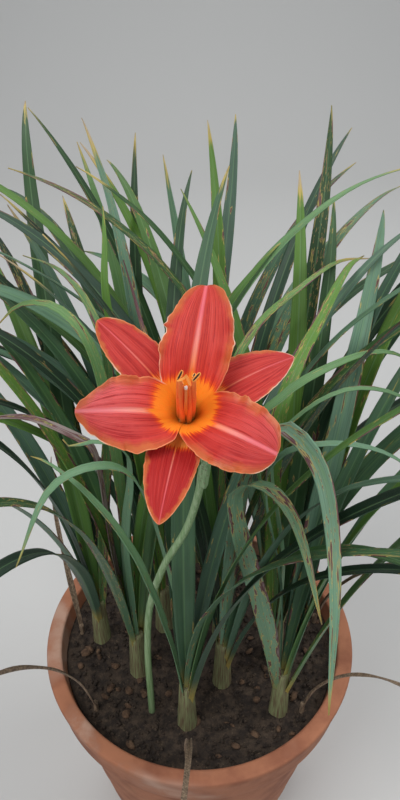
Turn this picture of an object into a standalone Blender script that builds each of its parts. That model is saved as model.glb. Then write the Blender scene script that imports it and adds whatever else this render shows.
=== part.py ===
# Daylily plant in a plain pot: fans of strap leaves, one open flower on its scape and two buds.
# Metres, +Z up. The pot stands on z = 0 with its axis on Z; the flower faces -Y and up.

import math
import random

import bmesh
import bpy
import numpy as np
from mathutils import Matrix, Vector
from mathutils.bvhtree import BVHTree

NAME = "daylily_plant"
GAP = 0.0003  # left between two pieces that touch
MERGE = 0.00001
CUTTER_SPARE = 0.005  # how far a cutter stands out of what it cuts

# Pot and soil
POT_HEIGHT = 0.250
POT_TOP_RADIUS = 0.146
POT_BASE_RADIUS = 0.104
POT_WALL = 0.008
POT_FLOOR = 0.010
RIM_HEIGHT = 0.042
RIM_OUT = 0.007
DRAIN_RADIUS = 0.006
DRAIN_RING = 0.062
DRAIN_COUNT = 4
DRAIN_SIDES = 12
LIP_ROUND = 0.002  # how much is taken off the rim's corners
SOIL_EDGE = 0.232
SOIL_MIDDLE = 0.240
SOIL_KNEE = 0.070  # radius at which the heap of soil turns over
SOIL_CROWN = 0.001
TURN_STEPS = 28

# Fans of leaves
FAN_COUNT = 12
FAN_SPREAD = 0.112
FAN_TURN = 20.0  # degrees, where the spiral of fans starts
GOLDEN_ANGLE = 137.508
FAN_PLANE_TURN = 67.0  # degrees from one fan's plane to the next
STOOL_DEPTH = 0.034  # how far a fan's foot stands in the soil
STOOL_HEIGHT = 0.060
STOOL_RADIUS = 0.0095
STOOL_TOP_RADIUS = 0.0065
STOOL_SIDES = 6
STOOL_LAP = 0.004  # how far the clasping part of a fan reaches down over its foot
LEAVES_IN_FAN = 8
PLACED_ROOT = 0.012  # height above the soil at which a placed leaf starts

# A drawn leaf: where it starts in its fan, its length, half-width, the angle at which it leaves the
# ground and how far it bends over. Age is 1 for a fan's oldest leaf and falls towards 0. Angles are
# in degrees, and the spreads are standard deviations.
LEAF = dict(
    length=(0.42, 0.58), half_width=(0.0080, 0.0110), offset=(0.001, 0.0055), root=(0.044, 0.014),
    azimuth_spread=34.0, rise=88.0, rise_spread=2.0, age_lean=10.0,
    bend_least=20.0, bend_most=75.0, bend_age=50.0, bend_power=(1.5, 2.6),
    drift_spread=22.0, roll_spread=16.0,
)
LEAF_SEED = 59
LEAF_TRIES = 990

# Blades of all leaves: a V that is nearly shut where it clasps and opens along the leaf
BLADE_THICKNESS = 0.0008
BLADE_STEPS = 5
PLACED_STEPS = 8
FINE_STEPS = 40  # steps along which a leaf's midrib is worked out
BLADE_COLUMNS = (-1.0, 0.0, 1.0)
BLADE_CLEARANCE = 0.0020
BLADE_ROOT_SHARE = 0.50  # of its full width where it clasps
BLADE_FULL_AT = 0.3
BLADE_TIP = 0.0005
FOLD_OPEN = 14.0
FOLD_ROOT = 44.0
FOLD_FADE = 0.16

# Room for the leaves, and the view of the open flower that they leave free
LEAF_LOWEST = 0.06
LEAF_REACH = 0.36
LEAF_HIGHEST = 0.71
RIM_ROOM = 0.02
RIM_LIFT = 0.012
VIEW_RISE = 38.0  # degrees above the horizon from which the open flower is seen unhidden
VIEW_RADIUS = 0.16
VIEW_BEHIND = 0.012

# Dry leaves, each rising from its own peg in the soil
DRY_COUNT = 7
DRY_RING = 0.122
DRY_START = 0.35  # share of a step at which the first one stands
DRY_PEG_RADIUS = 0.0028
DRY_PEG_DEPTH = 0.016
DRY_PEG_HEIGHT = 0.014
DRY_PEG_SIDES = 8
DRY = dict(
    place_spread=0.3, way_spread=0.8, length=(0.20, 0.32), rise=82.0, bend=(80, 135), bend_power=1.2,
    drift_spread=35.0, half_width=(0.0028, 0.0042), fold=30.0, fold_wave=20.0, waves=7.0, roll=60.0,
    root=0.004,
)

# Scape
SCAPE_FOOT = (-0.045, -0.075)
SCAPE_RADIUS = 0.0031
SCAPE_DEPTH = 0.030
SCAPE_STRAIGHT = 0.01  # height above the soil at which it starts to bend
SCAPE_STEPS = 12
SCAPE_SIDES = 8
SCAPE_TAPER = 0.82
SCAPE_FORK = (0.003, -0.120, 0.600)
SCAPE_ROUTE = (
    (-0.0450, -0.0750, 0.330),
    (-0.0400, -0.0800, 0.400),
    (-0.0270, -0.0890, 0.460),
    (-0.0100, -0.0990, 0.510),
    (-0.0010, -0.1090, 0.555),
)
# Bracts: the way they face in degrees, their start below the fork and their length
BRACTS = ((290, -0.026, 0.034), (98, -0.012, 0.024))
BRACT_START = 0.0018  # distance from the scape's axis
BRACT_HALF_WIDTH = 0.0052
BRACT_TIP = 0.0006
BRACT_STEPS = 5
FLOWER_STALK_RADII = (0.0022, 0.0020)
FLOWER_STALK_DROP = 0.006
BUD_STALK = 0.010
BUD_STALK_RADIUS = 0.0017
BUD_LIFT = 0.004  # how far a bud's tip curves up
BUD_STEPS = 9
# Buds: the direction they point, their length and their radius
BUDS = (
    ("bud_1", (0.55, 0.60, 0.50), 0.034, 0.0046),
    ("bud_2", (-0.62, 0.62, 0.30), 0.026, 0.0038),
)

# Flower
MOUTH = (-0.007, -0.150, 0.655)  # middle of the throat, where the tepals part from the tube
FLOWER_RISE = 60.6  # degrees that the flower's axis stands above the horizon, facing -Y
TEPAL_THICKNESS = 0.0008
TEPAL_ROWS = 13
TEPAL_COLUMNS = (-1.0, -0.78, -0.42, 0.0, 0.42, 0.78, 1.0)
TUBE_SIDES = 16
# Profile of the flower's tube: radius and distance behind the mouth, from the ledge that carries
# the sepals to the swollen ovary and the stalk
TUBE_LEDGE_RADII = (0.0053, 0.0069)
TUBE_PROFILE = (
    (0.0055, 0.0060),
    (0.0036, 0.0150),
    (0.0030, 0.0260),
    (0.0034, 0.0330),
    (0.0026, 0.0385),
)
PETAL_RING = 0.0046
SEPAL_RING = 0.0062
SEPAL_DROP = 0.001
PETAL_HUG = 0.96  # half of the angle that a tepal takes up in the throat, in radians
SEPAL_HUG = 0.84
OPEN_HUG = 1.7
TEPAL_TIP = 0.0012  # least half-width, at the tip

# Each tepal: turn clockwise from the top, length, opening angle at the base, at the end, how
# soon it opens, tip recurve, sideways sweep, half-widths on the plus and minus margin, shape
# powers, cross bend along the blade, twist and how far the throat's roundness reaches.
TEPALS = {
    "petal_upper": dict(turn=10, length=0.0700, base=15, end=77, soon=0.35, recurve=10, sweep=0,
                        plus=0.0192, minus=0.0177, rise=0.58, fall=0.48, bend=1, twist=20,
                        throat=0.50, ruffle=0.0012, waves=4.3, phase=0.4),
    "petal_right": dict(turn=130, length=0.0670, base=16, end=66, soon=0.37, recurve=2, sweep=-2.6,
                        plus=0.0190, minus=0.0185, rise=0.67, fall=0.54, bend=3, twist=-33,
                        throat=0.50, ruffle=0.0013, waves=4.8, phase=2.1),
    "petal_left": dict(turn=254, length=0.0668, base=14, end=63, soon=0.37, recurve=0, sweep=1.2,
                       plus=0.0168, minus=0.0214, rise=0.77, fall=0.80, bend=3, twist=43,
                       throat=0.47, ruffle=0.0013, waves=4.6, phase=4.0),
    "sepal_upper_right": dict(turn=60, length=0.0642, base=23, end=93, soon=0.23, recurve=16,
                              sweep=2.9, plus=0.0139, minus=0.0129, rise=0.59, fall=0.74,
                              bend=-4, twist=-11, throat=0.40, ruffle=0.0004, waves=3.0, phase=0),
    "sepal_lower": dict(turn=192, length=0.0678, base=23, end=75, soon=0.26, recurve=5.5,
                        sweep=-3.3, plus=0.0128, minus=0.0120, rise=0.62, fall=0.68,
                        bend=-4, twist=-5, throat=0.40, ruffle=0.0004, waves=3.3, phase=1.2),
    "sepal_upper_left": dict(turn=317, length=0.0672, base=24, end=84, soon=0.24, recurve=13.5,
                             sweep=-2.5, plus=0.0124, minus=0.0118, rise=0.64, fall=0.58,
                             bend=-4, twist=17, throat=0.40, ruffle=0.0004, waves=3.6, phase=2.6),
}

# Stamens and pistil, in the flower's own frame (right, up, along the axis): all rise together
# from the throat. For each stamen: degrees round the throat, the tip and the way its anther points.
FILAMENT_RADIUS = 0.0008
FILAMENT_RING = 0.0031
FILAMENT_STEPS = 7
FILAMENT_SAG = (0.0, -0.0012, 0.002)  # of its middle, from the straight line
FILAMENT_BOW = 0.10  # of its tip's offset, added at its middle
ANTHER_LENGTH = 0.0056
ANTHER_RADIUS = 0.0010
ANTHER_HOLD = 0.0008  # how far from its near end an anther is held
STAMENS = (
    (180, (-0.0028, 0.0016, 0.0450), (0.42, 0.62, 0.60)),
    (0, (0.0046, 0.0010, 0.0450), (0.62, 0.50, 0.52)),
    (60, (0.0043, 0.0037, 0.0422), (0.10, 0.55, -0.60)),
    (240, (-0.0019, -0.0003, 0.0470), (0.75, 0.35, 0.45)),
    (120, (-0.0011, 0.0010, 0.0400), (-0.20, 0.60, -0.45)),
    (300, (0.0026, 0.0014, 0.0390), (-0.30, 0.60, 0.30)),
)
PISTIL_TIP = (0.0007, -0.0004, 0.0400)
PISTIL_RADII = (0.0007, 0.0010)
PISTIL_STEPS = 8

# Leaves whose places matter most in the front view: the fan they grow from, the half-width,
# the roll of the blade at its root and tip in degrees, and the route that the midrib takes.
PLACED_LEAVES = (
    ("reach_left", 4, 0.0066, (0, -35),
     ((-0.062, -0.034, 0.45), (-0.064, -0.044, 0.57), (-0.074, -0.040, 0.629),
      (-0.096, -0.026, 0.648), (-0.121, -0.018, 0.644), (-0.140, -0.014, 0.625))),
    ("tall_left", 1, 0.0062, (10, 20),
     ((-0.044, 0.008, 0.42), (-0.056, -0.004, 0.56), (-0.066, 0.005, 0.634),
      (-0.067, 0.030, 0.665), (-0.070, 0.060, 0.680))),
    ("arch_right", 2, 0.0072, (10, 35),
     ((0.026, -0.056, 0.42), (0.034, -0.084, 0.555), (0.048, -0.099, 0.603),
      (0.064, -0.116, 0.605), (0.074, -0.145, 0.595), (0.076, -0.190, 0.565),
      (0.072, -0.235, 0.510))),
    ("channel_right", 10, 0.0045, (0, 10),
     ((0.068, -0.066, 0.40), (0.048, -0.076, 0.52), (0.054, -0.085, 0.568),
      (0.086, -0.086, 0.580), (0.122, -0.086, 0.572), (0.160, -0.088, 0.545))),
    ("arch_low_right", 10, 0.0080, (0, 25),
     ((0.056, -0.092, 0.38), (0.026, -0.096, 0.52), (0.030, -0.106, 0.560),
      (0.046, -0.122, 0.572), (0.060, -0.150, 0.566), (0.072, -0.190, 0.530))),
    ("arch_low_left", 7, 0.0056, (0, 20),
     ((-0.018, -0.064, 0.36), (-0.034, -0.060, 0.47), (-0.046, -0.082, 0.545),
      (-0.066, -0.108, 0.580), (-0.092, -0.130, 0.580), (-0.108, -0.168, 0.555))),
    ("tip_low_left", 7, 0.0042, (0, 10),
     ((-0.024, -0.098, 0.38), (-0.044, -0.114, 0.50), (-0.070, -0.112, 0.556),
      (-0.095, -0.102, 0.576), (-0.109, -0.096, 0.578))),
    ("curl_left", 4, 0.0046, (0, 30),
     ((-0.062, -0.044, 0.42), (-0.050, -0.066, 0.53), (-0.052, -0.077, 0.566),
      (-0.068, -0.084, 0.580), (-0.084, -0.088, 0.579), (-0.088, -0.090, 0.587))),
    ("dead_left", 4, 0.0052, (0, 25),
     ((-0.072, -0.038, 0.40), (-0.074, -0.050, 0.51), (-0.076, -0.057, 0.549),
      (-0.087, -0.058, 0.562), (-0.122, -0.050, 0.573), (-0.165, -0.040, 0.560))),
    ("brown_edge_right", 0, 0.0044, (0, 15),
     ((0.020, 0.004, 0.42), (0.020, -0.010, 0.56), (0.040, 0.010, 0.606),
      (0.075, 0.048, 0.618), (0.110, 0.085, 0.622), (0.150, 0.125, 0.605))),
    ("dried_tip_left", 1, 0.0036, (0, 0),
     ((-0.036, 0.012, 0.44), (-0.038, 0.006, 0.58), (-0.046, 0.028, 0.612),
      (-0.058, 0.062, 0.636))),
    ("lean_left", 9, 0.0060, (0, 10),
     ((-0.084, 0.000, 0.42), (-0.068, -0.002, 0.57), (-0.078, 0.016, 0.616),
      (-0.104, 0.048, 0.634), (-0.140, 0.085, 0.628))),
    ("broad_right", 5, 0.0072, (0, 15),
     ((0.062, -0.026, 0.42), (0.056, -0.040, 0.55), (0.066, -0.024, 0.588),
      (0.088, 0.012, 0.614), (0.112, 0.055, 0.632), (0.134, 0.100, 0.620))),
    ("reach_right", 5, 0.0060, (0, 10),
     ((0.066, -0.034, 0.40), (0.040, -0.056, 0.555), (0.058, -0.050, 0.592),
      (0.096, -0.034, 0.608), (0.132, -0.018, 0.606), (0.170, -0.004, 0.580))),
    ("slim_right", 5, 0.0045, (0, 15),
     ((0.072, -0.040, 0.40), (0.050, -0.074, 0.555), (0.066, -0.074, 0.594),
      (0.094, -0.068, 0.610), (0.124, -0.064, 0.606), (0.156, -0.060, 0.585))),
)

FAN_LABEL = "fan_{:02d}"


def clear_scene():
    for item in list(bpy.data.objects):
        bpy.data.objects.remove(item, do_unlink=True)


def new_collection(name, cutters=False):
    collection = bpy.data.collections.new(name)
    bpy.context.scene.collection.children.link(collection)
    collection.hide_render = cutters
    return collection


def material(name, colour, roughness):
    finish = bpy.data.materials.new(name)
    finish.use_nodes = True
    shader = finish.node_tree.nodes["Principled BSDF"]
    shader.inputs["Base Color"].default_value = (*colour, 1.0)
    shader.inputs["Roughness"].default_value = roughness
    shader.inputs["Metallic"].default_value = 0.0
    return finish


def add_object(name, mesh, collection, finish=None, smooth=True):
    item = bpy.data.objects.new(name, mesh)
    collection.objects.link(item)
    if finish:
        mesh.materials.clear()
        mesh.materials.append(finish)
    if smooth:
        mesh.polygons.foreach_set("use_smooth", [True] * len(mesh.polygons))
    return item


def mesh_from_bmesh(name, shape):
    mesh = bpy.data.meshes.new(name)
    shape.to_mesh(mesh)
    shape.free()
    return mesh


def apply_modifiers(item):
    graph = bpy.context.evaluated_depsgraph_get()
    mesh = bpy.data.meshes.new_from_object(item.evaluated_get(graph))
    old = item.data
    item.modifiers.clear()
    item.data = mesh
    bpy.data.meshes.remove(old)


def turned(name, profile, collection, finish, steps=TURN_STEPS):
    """Mesh edges of a profile at +X, turned about Z by a Screw modifier."""
    mesh = bpy.data.meshes.new(name)
    edges = [(i, i + 1) for i in range(len(profile) - 1)]
    mesh.from_pydata([(x, 0.0, z) for x, z in profile], edges, [])
    item = add_object(name, mesh, collection, finish)
    screw = item.modifiers.new("turn", "SCREW")
    screw.axis = "Z"
    screw.angle = math.tau
    screw.steps = steps
    screw.render_steps = steps
    screw.use_merge_vertices = True
    screw.merge_threshold = MERGE
    screw.use_smooth_shade = True
    return item


def peg(name, radius, top_radius, low, high, sides, place, collection, finish=None):
    shape = bmesh.new()
    bmesh.ops.create_cone(shape, cap_ends=True, segments=sides, radius1=radius,
                          radius2=top_radius, depth=high - low)
    bmesh.ops.translate(shape, verts=shape.verts, vec=(place[0], place[1], (high + low) / 2))
    return add_object(name, mesh_from_bmesh(name, shape), collection, finish, smooth=False)


def hole_radius(radius, sides):
    """Radius of a many-sided hole whose flats stay a gap away from a peg with as many sides."""
    return radius + GAP / math.cos(math.pi / sides)


def cut(item, cutter_collection):
    cutter = item.modifiers.new("holes", "BOOLEAN")
    cutter.operation = "DIFFERENCE"
    cutter.operand_type = "COLLECTION"
    cutter.collection = cutter_collection
    cutter.solver = "EXACT"


def tube_mesh(name, points, radii, collection, sides_level=1):
    """A POLY curve with a bevel and filled caps, made into a welded mesh."""
    curve = bpy.data.curves.new(name, "CURVE")
    curve.dimensions = "3D"
    curve.bevel_depth = 1.0
    curve.bevel_resolution = sides_level
    curve.use_fill_caps = True
    spline = curve.splines.new("POLY")
    spline.points.add(len(points) - 1)
    for point, place, radius in zip(spline.points, points, radii):
        point.co = (*place, 1.0)
        point.radius = radius
    item = bpy.data.objects.new(name + "_curve", curve)
    collection.objects.link(item)
    graph = bpy.context.evaluated_depsgraph_get()
    mesh = bpy.data.meshes.new_from_object(item.evaluated_get(graph))
    bpy.data.objects.remove(item)
    shape = bmesh.new()
    shape.from_mesh(mesh)
    bpy.data.meshes.remove(mesh)
    bmesh.ops.remove_doubles(shape, verts=shape.verts, dist=MERGE)
    bmesh.ops.recalc_face_normals(shape, faces=shape.faces)
    return mesh_from_bmesh(name, shape)


def smooth_route(points, count):
    """Points read at even steps from a Catmull-Rom curve through the given points."""
    ends = [2 * points[0] - points[1], *points, 2 * points[-1] - points[-2]]
    dense = []
    for a, b, c, d in zip(ends, ends[1:], ends[2:], ends[3:]):
        t = np.linspace(0.0, 1.0, 16, endpoint=False)[:, None]
        dense.append(0.5 * (2 * b + (c - a) * t + (2 * a - 5 * b + 4 * c - d) * t**2
                            + (3 * b - a - 3 * c + d) * t**3))
    dense = np.vstack([*dense, points[-1][None]])
    run = np.concatenate([[0.0], np.cumsum(np.linalg.norm(np.diff(dense, axis=0), axis=1))])
    want = np.linspace(0.0, run[-1], count)
    return np.stack([np.interp(want, run, dense[:, k]) for k in range(3)], axis=1)


# Tepals

def flower_frame():
    rise = math.radians(FLOWER_RISE)
    along = np.array([0.0, -math.cos(rise), math.sin(rise)])
    up = np.array([0.0, math.sin(rise), math.cos(rise)])
    right = np.array([1.0, 0.0, 0.0])
    return right, up, along


def flower_point(place):
    right, up, along = flower_frame()
    return np.array(MOUTH) + right * place[0] + up * place[1] + along * place[2]


def tepal_grid(spec, inner):
    """Midline bent outwards from the tube; across it a round throat that flattens outwards."""
    right, up, along = flower_frame()
    t = np.linspace(0.0, 1.0, TEPAL_ROWS)
    turn = math.radians(spec["turn"])
    out = math.cos(turn) * up + math.sin(turn) * right
    base, end, recurve = (math.radians(spec[k]) for k in ("base", "end", "recurve"))
    opened = (1 - np.exp(-t / spec["soon"])) / (1 - math.exp(-1 / spec["soon"]))
    angle = base + (end - base) * opened + recurve * t**3
    drift = math.radians(spec["sweep"]) * t
    side = np.cross(out, along)
    course = (np.outer(np.sin(angle) * np.cos(drift), out)
              + np.outer(np.cos(angle) * np.cos(drift), along) + np.outer(np.sin(drift), side))
    ring = PETAL_RING if inner else SEPAL_RING
    start = out * ring - along * (0.0 if inner else SEPAL_DROP)
    step = spec["length"] / (TEPAL_ROWS - 1)
    middle = start + np.vstack([np.zeros(3), np.cumsum((course[1:] + course[:-1]) / 2, axis=0) * step])
    face = np.outer(-np.cos(angle), out) + np.outer(np.sin(angle), along)
    face -= np.sum(face * course, axis=1)[:, None] * course
    face /= np.linalg.norm(face, axis=1)[:, None]
    across = np.cross(course, face)
    twist = math.radians(spec["twist"]) * t**2
    across, face = (np.cos(twist)[:, None] * across + np.sin(twist)[:, None] * face,
                    np.cos(twist)[:, None] * face - np.sin(twist)[:, None] * across)
    peak = spec["rise"] / (spec["rise"] + spec["fall"])
    swell = (t**spec["rise"] * (1 - t)**spec["fall"]
             / (peak**spec["rise"] * (1 - peak)**spec["fall"]))
    radius = np.maximum(middle @ out, ring)
    fade = np.exp(-(t / spec["throat"])**2)
    curl = fade / radius + spec["bend"] * t
    widest = radius * ((PETAL_HUG if inner else SEPAL_HUG) * fade + OPEN_HUG * (1 - fade))
    rows = []
    for v in TEPAL_COLUMNS:
        half = spec["plus"] if v > 0 else spec["minus"]
        half = np.minimum(ring * (1 - t)**3 + half * swell, widest)
        half = np.maximum(half, TEPAL_TIP)
        reach = half * v
        bend = np.where(np.abs(curl) < 1e-6, 1e-6, curl)
        wave = np.sin(math.tau * spec["waves"] * t + spec["phase"] * (1.0 if v > 0 else 1.7))
        ruffle = spec["ruffle"] * abs(v)**3 * wave * np.clip((t - 0.2) / 0.3, 0, 1) * (1 - t**4)
        lift = (1 - np.cos(bend * reach)) / bend + ruffle
        rows.append(middle + across * (np.sin(bend * reach) / bend)[:, None] + face * lift[:, None])
    return np.array(MOUTH) + np.stack(rows, axis=1)


def grid_mesh(name, points, flip=False):
    """A create_grid sheet moved to the given rows and columns of points, in triangles."""
    rows, columns = points.shape[:2]
    shape = bmesh.new()
    bmesh.ops.create_grid(shape, x_segments=columns - 1, y_segments=rows - 1, size=1.0)
    shape.verts.ensure_lookup_table()
    for vertex, place in zip(shape.verts, points.reshape(-1, 3)):
        vertex.co = place
    if flip:
        bmesh.ops.reverse_faces(shape, faces=shape.faces)
    bmesh.ops.triangulate(shape, faces=shape.faces)
    return mesh_from_bmesh(name, shape)


def thicken(item, thickness):
    shell = item.modifiers.new("thickness", "SOLIDIFY")
    shell.thickness = thickness
    shell.offset = 0.0
    shell.use_even_offset = True
    shell.use_rim = True


# Leaves

def blade_grid(centre, azimuth, roll, half_width, fold):
    """Points of a V-folded blade: a level line square to the midrib, rolled about it."""
    course = np.gradient(centre, axis=0)
    course /= np.linalg.norm(course, axis=1)[:, None]
    level = np.stack([-np.sin(azimuth), np.cos(azimuth), np.zeros_like(azimuth)], axis=1)
    level -= np.sum(level * course, axis=1)[:, None] * course
    level /= np.linalg.norm(level, axis=1)[:, None]
    face = np.cross(course, level)
    across = np.cos(roll)[:, None] * level + np.sin(roll)[:, None] * face
    face = np.cross(course, across)
    lines = [centre + across * (half_width * v * np.cos(fold))[:, None]
             + face * (half_width * abs(v) * np.sin(fold))[:, None] for v in BLADE_COLUMNS]
    return np.stack(lines, axis=1)


def blade_profile(s, half_width):
    """Narrower where it clasps, full from a third up, drawn to a point over the last third."""
    rise = BLADE_ROOT_SHARE + (1 - BLADE_ROOT_SHARE) * np.clip(s / BLADE_FULL_AT, 0.0, 1.0)
    return np.maximum(half_width * rise * (1 - s**3)**0.8, BLADE_TIP)


def blade_fold(s):
    return np.radians(FOLD_OPEN + FOLD_ROOT * np.exp(-s / FOLD_FADE))


def shell_tree(points, first_row=0):
    """A search tree of both faces of a blade with its clearance, to tell whether two would cross."""
    points = points[first_row:]
    rows, columns = points.shape[:2]
    lift = (BLADE_THICKNESS + BLADE_CLEARANCE) / 2
    du = np.gradient(points, axis=0)
    dv = np.gradient(points, axis=1)
    normal = np.cross(du, dv)
    normal /= np.linalg.norm(normal, axis=2)[:, :, None] + 1e-12
    places = np.concatenate([(points + normal * lift).reshape(-1, 3),
                             (points - normal * lift).reshape(-1, 3)])
    faces = []
    for side in (0, rows * columns):
        for i in range(rows - 1):
            for j in range(columns - 1):
                k = side + i * columns + j
                faces.append((k, k + 1, k + columns + 1, k + columns))
    return BVHTree.FromPolygons([Vector(p) for p in places], faces, all_triangles=False)


def object_tree(item):
    graph = bpy.context.evaluated_depsgraph_get()
    return BVHTree.FromObject(item, graph)


def hides_flower(centre):
    """Whether any point stands before the open flower as it is seen from the front."""
    rise = math.radians(VIEW_RISE)
    view = np.array([0.0, -math.cos(rise), math.sin(rise)])
    offset = centre - np.array(MOUTH)
    ahead = offset @ view
    aside = np.linalg.norm(offset - np.outer(ahead, view), axis=1)
    return bool(np.any((ahead > -VIEW_BEHIND) & (aside < VIEW_RADIUS)))


def soil_height(x, y):
    reach = min(math.hypot(x, y) / (POT_TOP_RADIUS - POT_WALL), 1.0)
    return SOIL_MIDDLE + (SOIL_EDGE - SOIL_MIDDLE) * reach


def fan_places():
    places = []
    for index in range(FAN_COUNT):
        radius = FAN_SPREAD * math.sqrt((index + 0.5) / FAN_COUNT)
        turn = math.radians(GOLDEN_ANGLE * index + FAN_TURN)
        places.append((radius * math.cos(turn), radius * math.sin(turn)))
    return places


def placed_leaf(place, roll, half_width, route):
    """A leaf whose midrib follows a route by hand from the middle of its fan."""
    foot = np.array([place[0], place[1], soil_height(*place) + PLACED_ROOT])
    centre = smooth_route([foot, *(np.array(p) for p in route)], PLACED_STEPS + 1)
    s = np.linspace(0.0, 1.0, len(centre))
    lean = centre[-1] - centre[0]
    azimuth = np.full(len(s), math.atan2(lean[1], lean[0]))
    turn = np.radians(roll[0] + (roll[1] - roll[0]) * s)
    return blade_grid(centre, azimuth, turn, blade_profile(s, half_width), blade_fold(s)), centre


def drawn_leaf(draw, place, plane, turn):
    """A leaf from random numbers: it stands up from its fan and bends outwards along its length.
    Leaves take turns on the fan's two sides; later ones start higher, further in and steeper."""
    age = 1.0 - turn / LEAVES_IN_FAN
    azimuth = plane + math.pi * (turn % 2) + math.radians(draw.gauss(0.0, LEAF["azimuth_spread"]))
    length = draw.uniform(*LEAF["length"])
    rise = math.radians(LEAF["rise"] - LEAF["age_lean"] * age
                        + draw.uniform(-LEAF["rise_spread"], LEAF["rise_spread"]))
    bend = math.radians(draw.uniform(LEAF["bend_least"], LEAF["bend_most"] + LEAF["bend_age"] * age))
    power = draw.uniform(*LEAF["bend_power"])
    drift = math.radians(draw.gauss(0, LEAF["drift_spread"]))
    roll = math.radians(draw.gauss(0, LEAF["roll_spread"]))
    half_width = draw.uniform(*LEAF["half_width"])
    offset = LEAF["offset"][0] + (LEAF["offset"][1] - LEAF["offset"][0]) * age
    root = LEAF["root"][0] + (LEAF["root"][1] - LEAF["root"][0]) * age
    s = np.linspace(0.0, 1.0, FINE_STEPS + 1)
    height = rise - bend * s**power
    way = azimuth + drift * s
    course = np.stack([np.cos(height) * np.cos(way), np.cos(height) * np.sin(way),
                       np.sin(height)], axis=1)
    foot = np.array([place[0] + offset * math.cos(azimuth), place[1] + offset * math.sin(azimuth),
                     soil_height(*place) + root])
    steps = np.cumsum((course[1:] + course[:-1]) / 2, axis=0) * length / FINE_STEPS
    centre = foot + np.vstack([np.zeros(3), steps])
    pick = np.arange(0, FINE_STEPS + 1, FINE_STEPS // BLADE_STEPS)
    s, way, centre = s[pick], way[pick], centre[pick]
    grid = blade_grid(centre, way, roll * s, blade_profile(s, half_width), blade_fold(s))
    return grid, centre


def stays_in_bounds(centre):
    """Whether a leaf keeps to its room and crosses the pot's rim well above it or well outside."""
    reach = np.hypot(centre[:, 0], centre[:, 1])
    over_rim = (reach > POT_TOP_RADIUS - RIM_ROOM) & (centre[:, 2] < POT_HEIGHT + RIM_LIFT)
    outside = reach > POT_TOP_RADIUS + RIM_OUT + RIM_ROOM
    return (centre[:, 2].min() > LEAF_LOWEST and reach.max() < LEAF_REACH
            and centre[:, 2].max() < LEAF_HIGHEST and not np.any(over_rim & ~outside))


def crosses(tree, others):
    return any(tree.overlap(other) for other in others)


def grow_leaves(obstacles):
    """All blades, fan by fan: the placed ones first, then drawn ones redrawn until they are clear."""
    places = fan_places()
    blades = {index: [] for index in range(FAN_COUNT)}
    whole = {index: [] for index in range(FAN_COUNT)}
    upper = {index: [] for index in range(FAN_COUNT)}

    def keep(index, grid):
        blades[index].append(grid)
        whole[index].append(shell_tree(grid))
        upper[index].append(shell_tree(grid, len(grid) // 3))

    def clear(index, grid):
        tree = shell_tree(grid)
        rest = shell_tree(grid, len(grid) // 3)
        others = [t for k in whole if k != index for t in whole[k]]
        return not (crosses(tree, obstacles) or crosses(tree, others)
                    or crosses(rest, upper[index]))

    for label, index, half_width, roll, route in PLACED_LEAVES:
        grid, _ = placed_leaf(places[index], roll, half_width, route)
        if not clear(index, grid):
            print("crossing:", label)
        keep(index, grid)
    for turn in range(LEAVES_IN_FAN):
        for index, place in enumerate(places):
            if len(blades[index]) > turn:
                continue
            plane = math.radians(FAN_PLANE_TURN) * index
            for attempt in range(LEAF_TRIES):
                draw = random.Random(LEAF_SEED + 100000 * index + 1000 * turn + attempt)
                grid, centre = drawn_leaf(draw, place, plane, turn)
                if stays_in_bounds(centre) and not hides_flower(centre) and clear(index, grid):
                    keep(index, grid)
                    break
    return blades


def fuse(item, parts):
    """One union of the item with every object of a collection, applied; the objects then go."""
    join = item.modifiers.new("join", "BOOLEAN")
    join.operation = "UNION"
    join.operand_type = "COLLECTION"
    join.collection = parts
    join.solver = "EXACT"
    apply_modifiers(item)
    for piece in list(parts.objects):
        bpy.data.objects.remove(piece, do_unlink=True)
    bpy.data.collections.remove(parts)


def keep_largest(item):
    """Drops loose scraps that a union leaves, and merges points that fall together."""
    shape = bmesh.new()
    shape.from_mesh(item.data)
    bmesh.ops.remove_doubles(shape, verts=shape.verts, dist=MERGE)
    bmesh.ops.triangulate(shape, faces=shape.faces)
    groups = []
    waiting = set(shape.verts)
    while waiting:
        stack = [waiting.pop()]
        group = set(stack)
        while stack:
            for edge in stack.pop().link_edges:
                for vertex in edge.verts:
                    if vertex not in group:
                        group.add(vertex)
                        stack.append(vertex)
        waiting -= group
        groups.append(group)
    largest = max(groups, key=len)
    for group in groups:
        if group is not largest:
            bmesh.ops.delete(shape, geom=list(group), context="VERTS")
    shape.to_mesh(item.data)
    shape.free()


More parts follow.
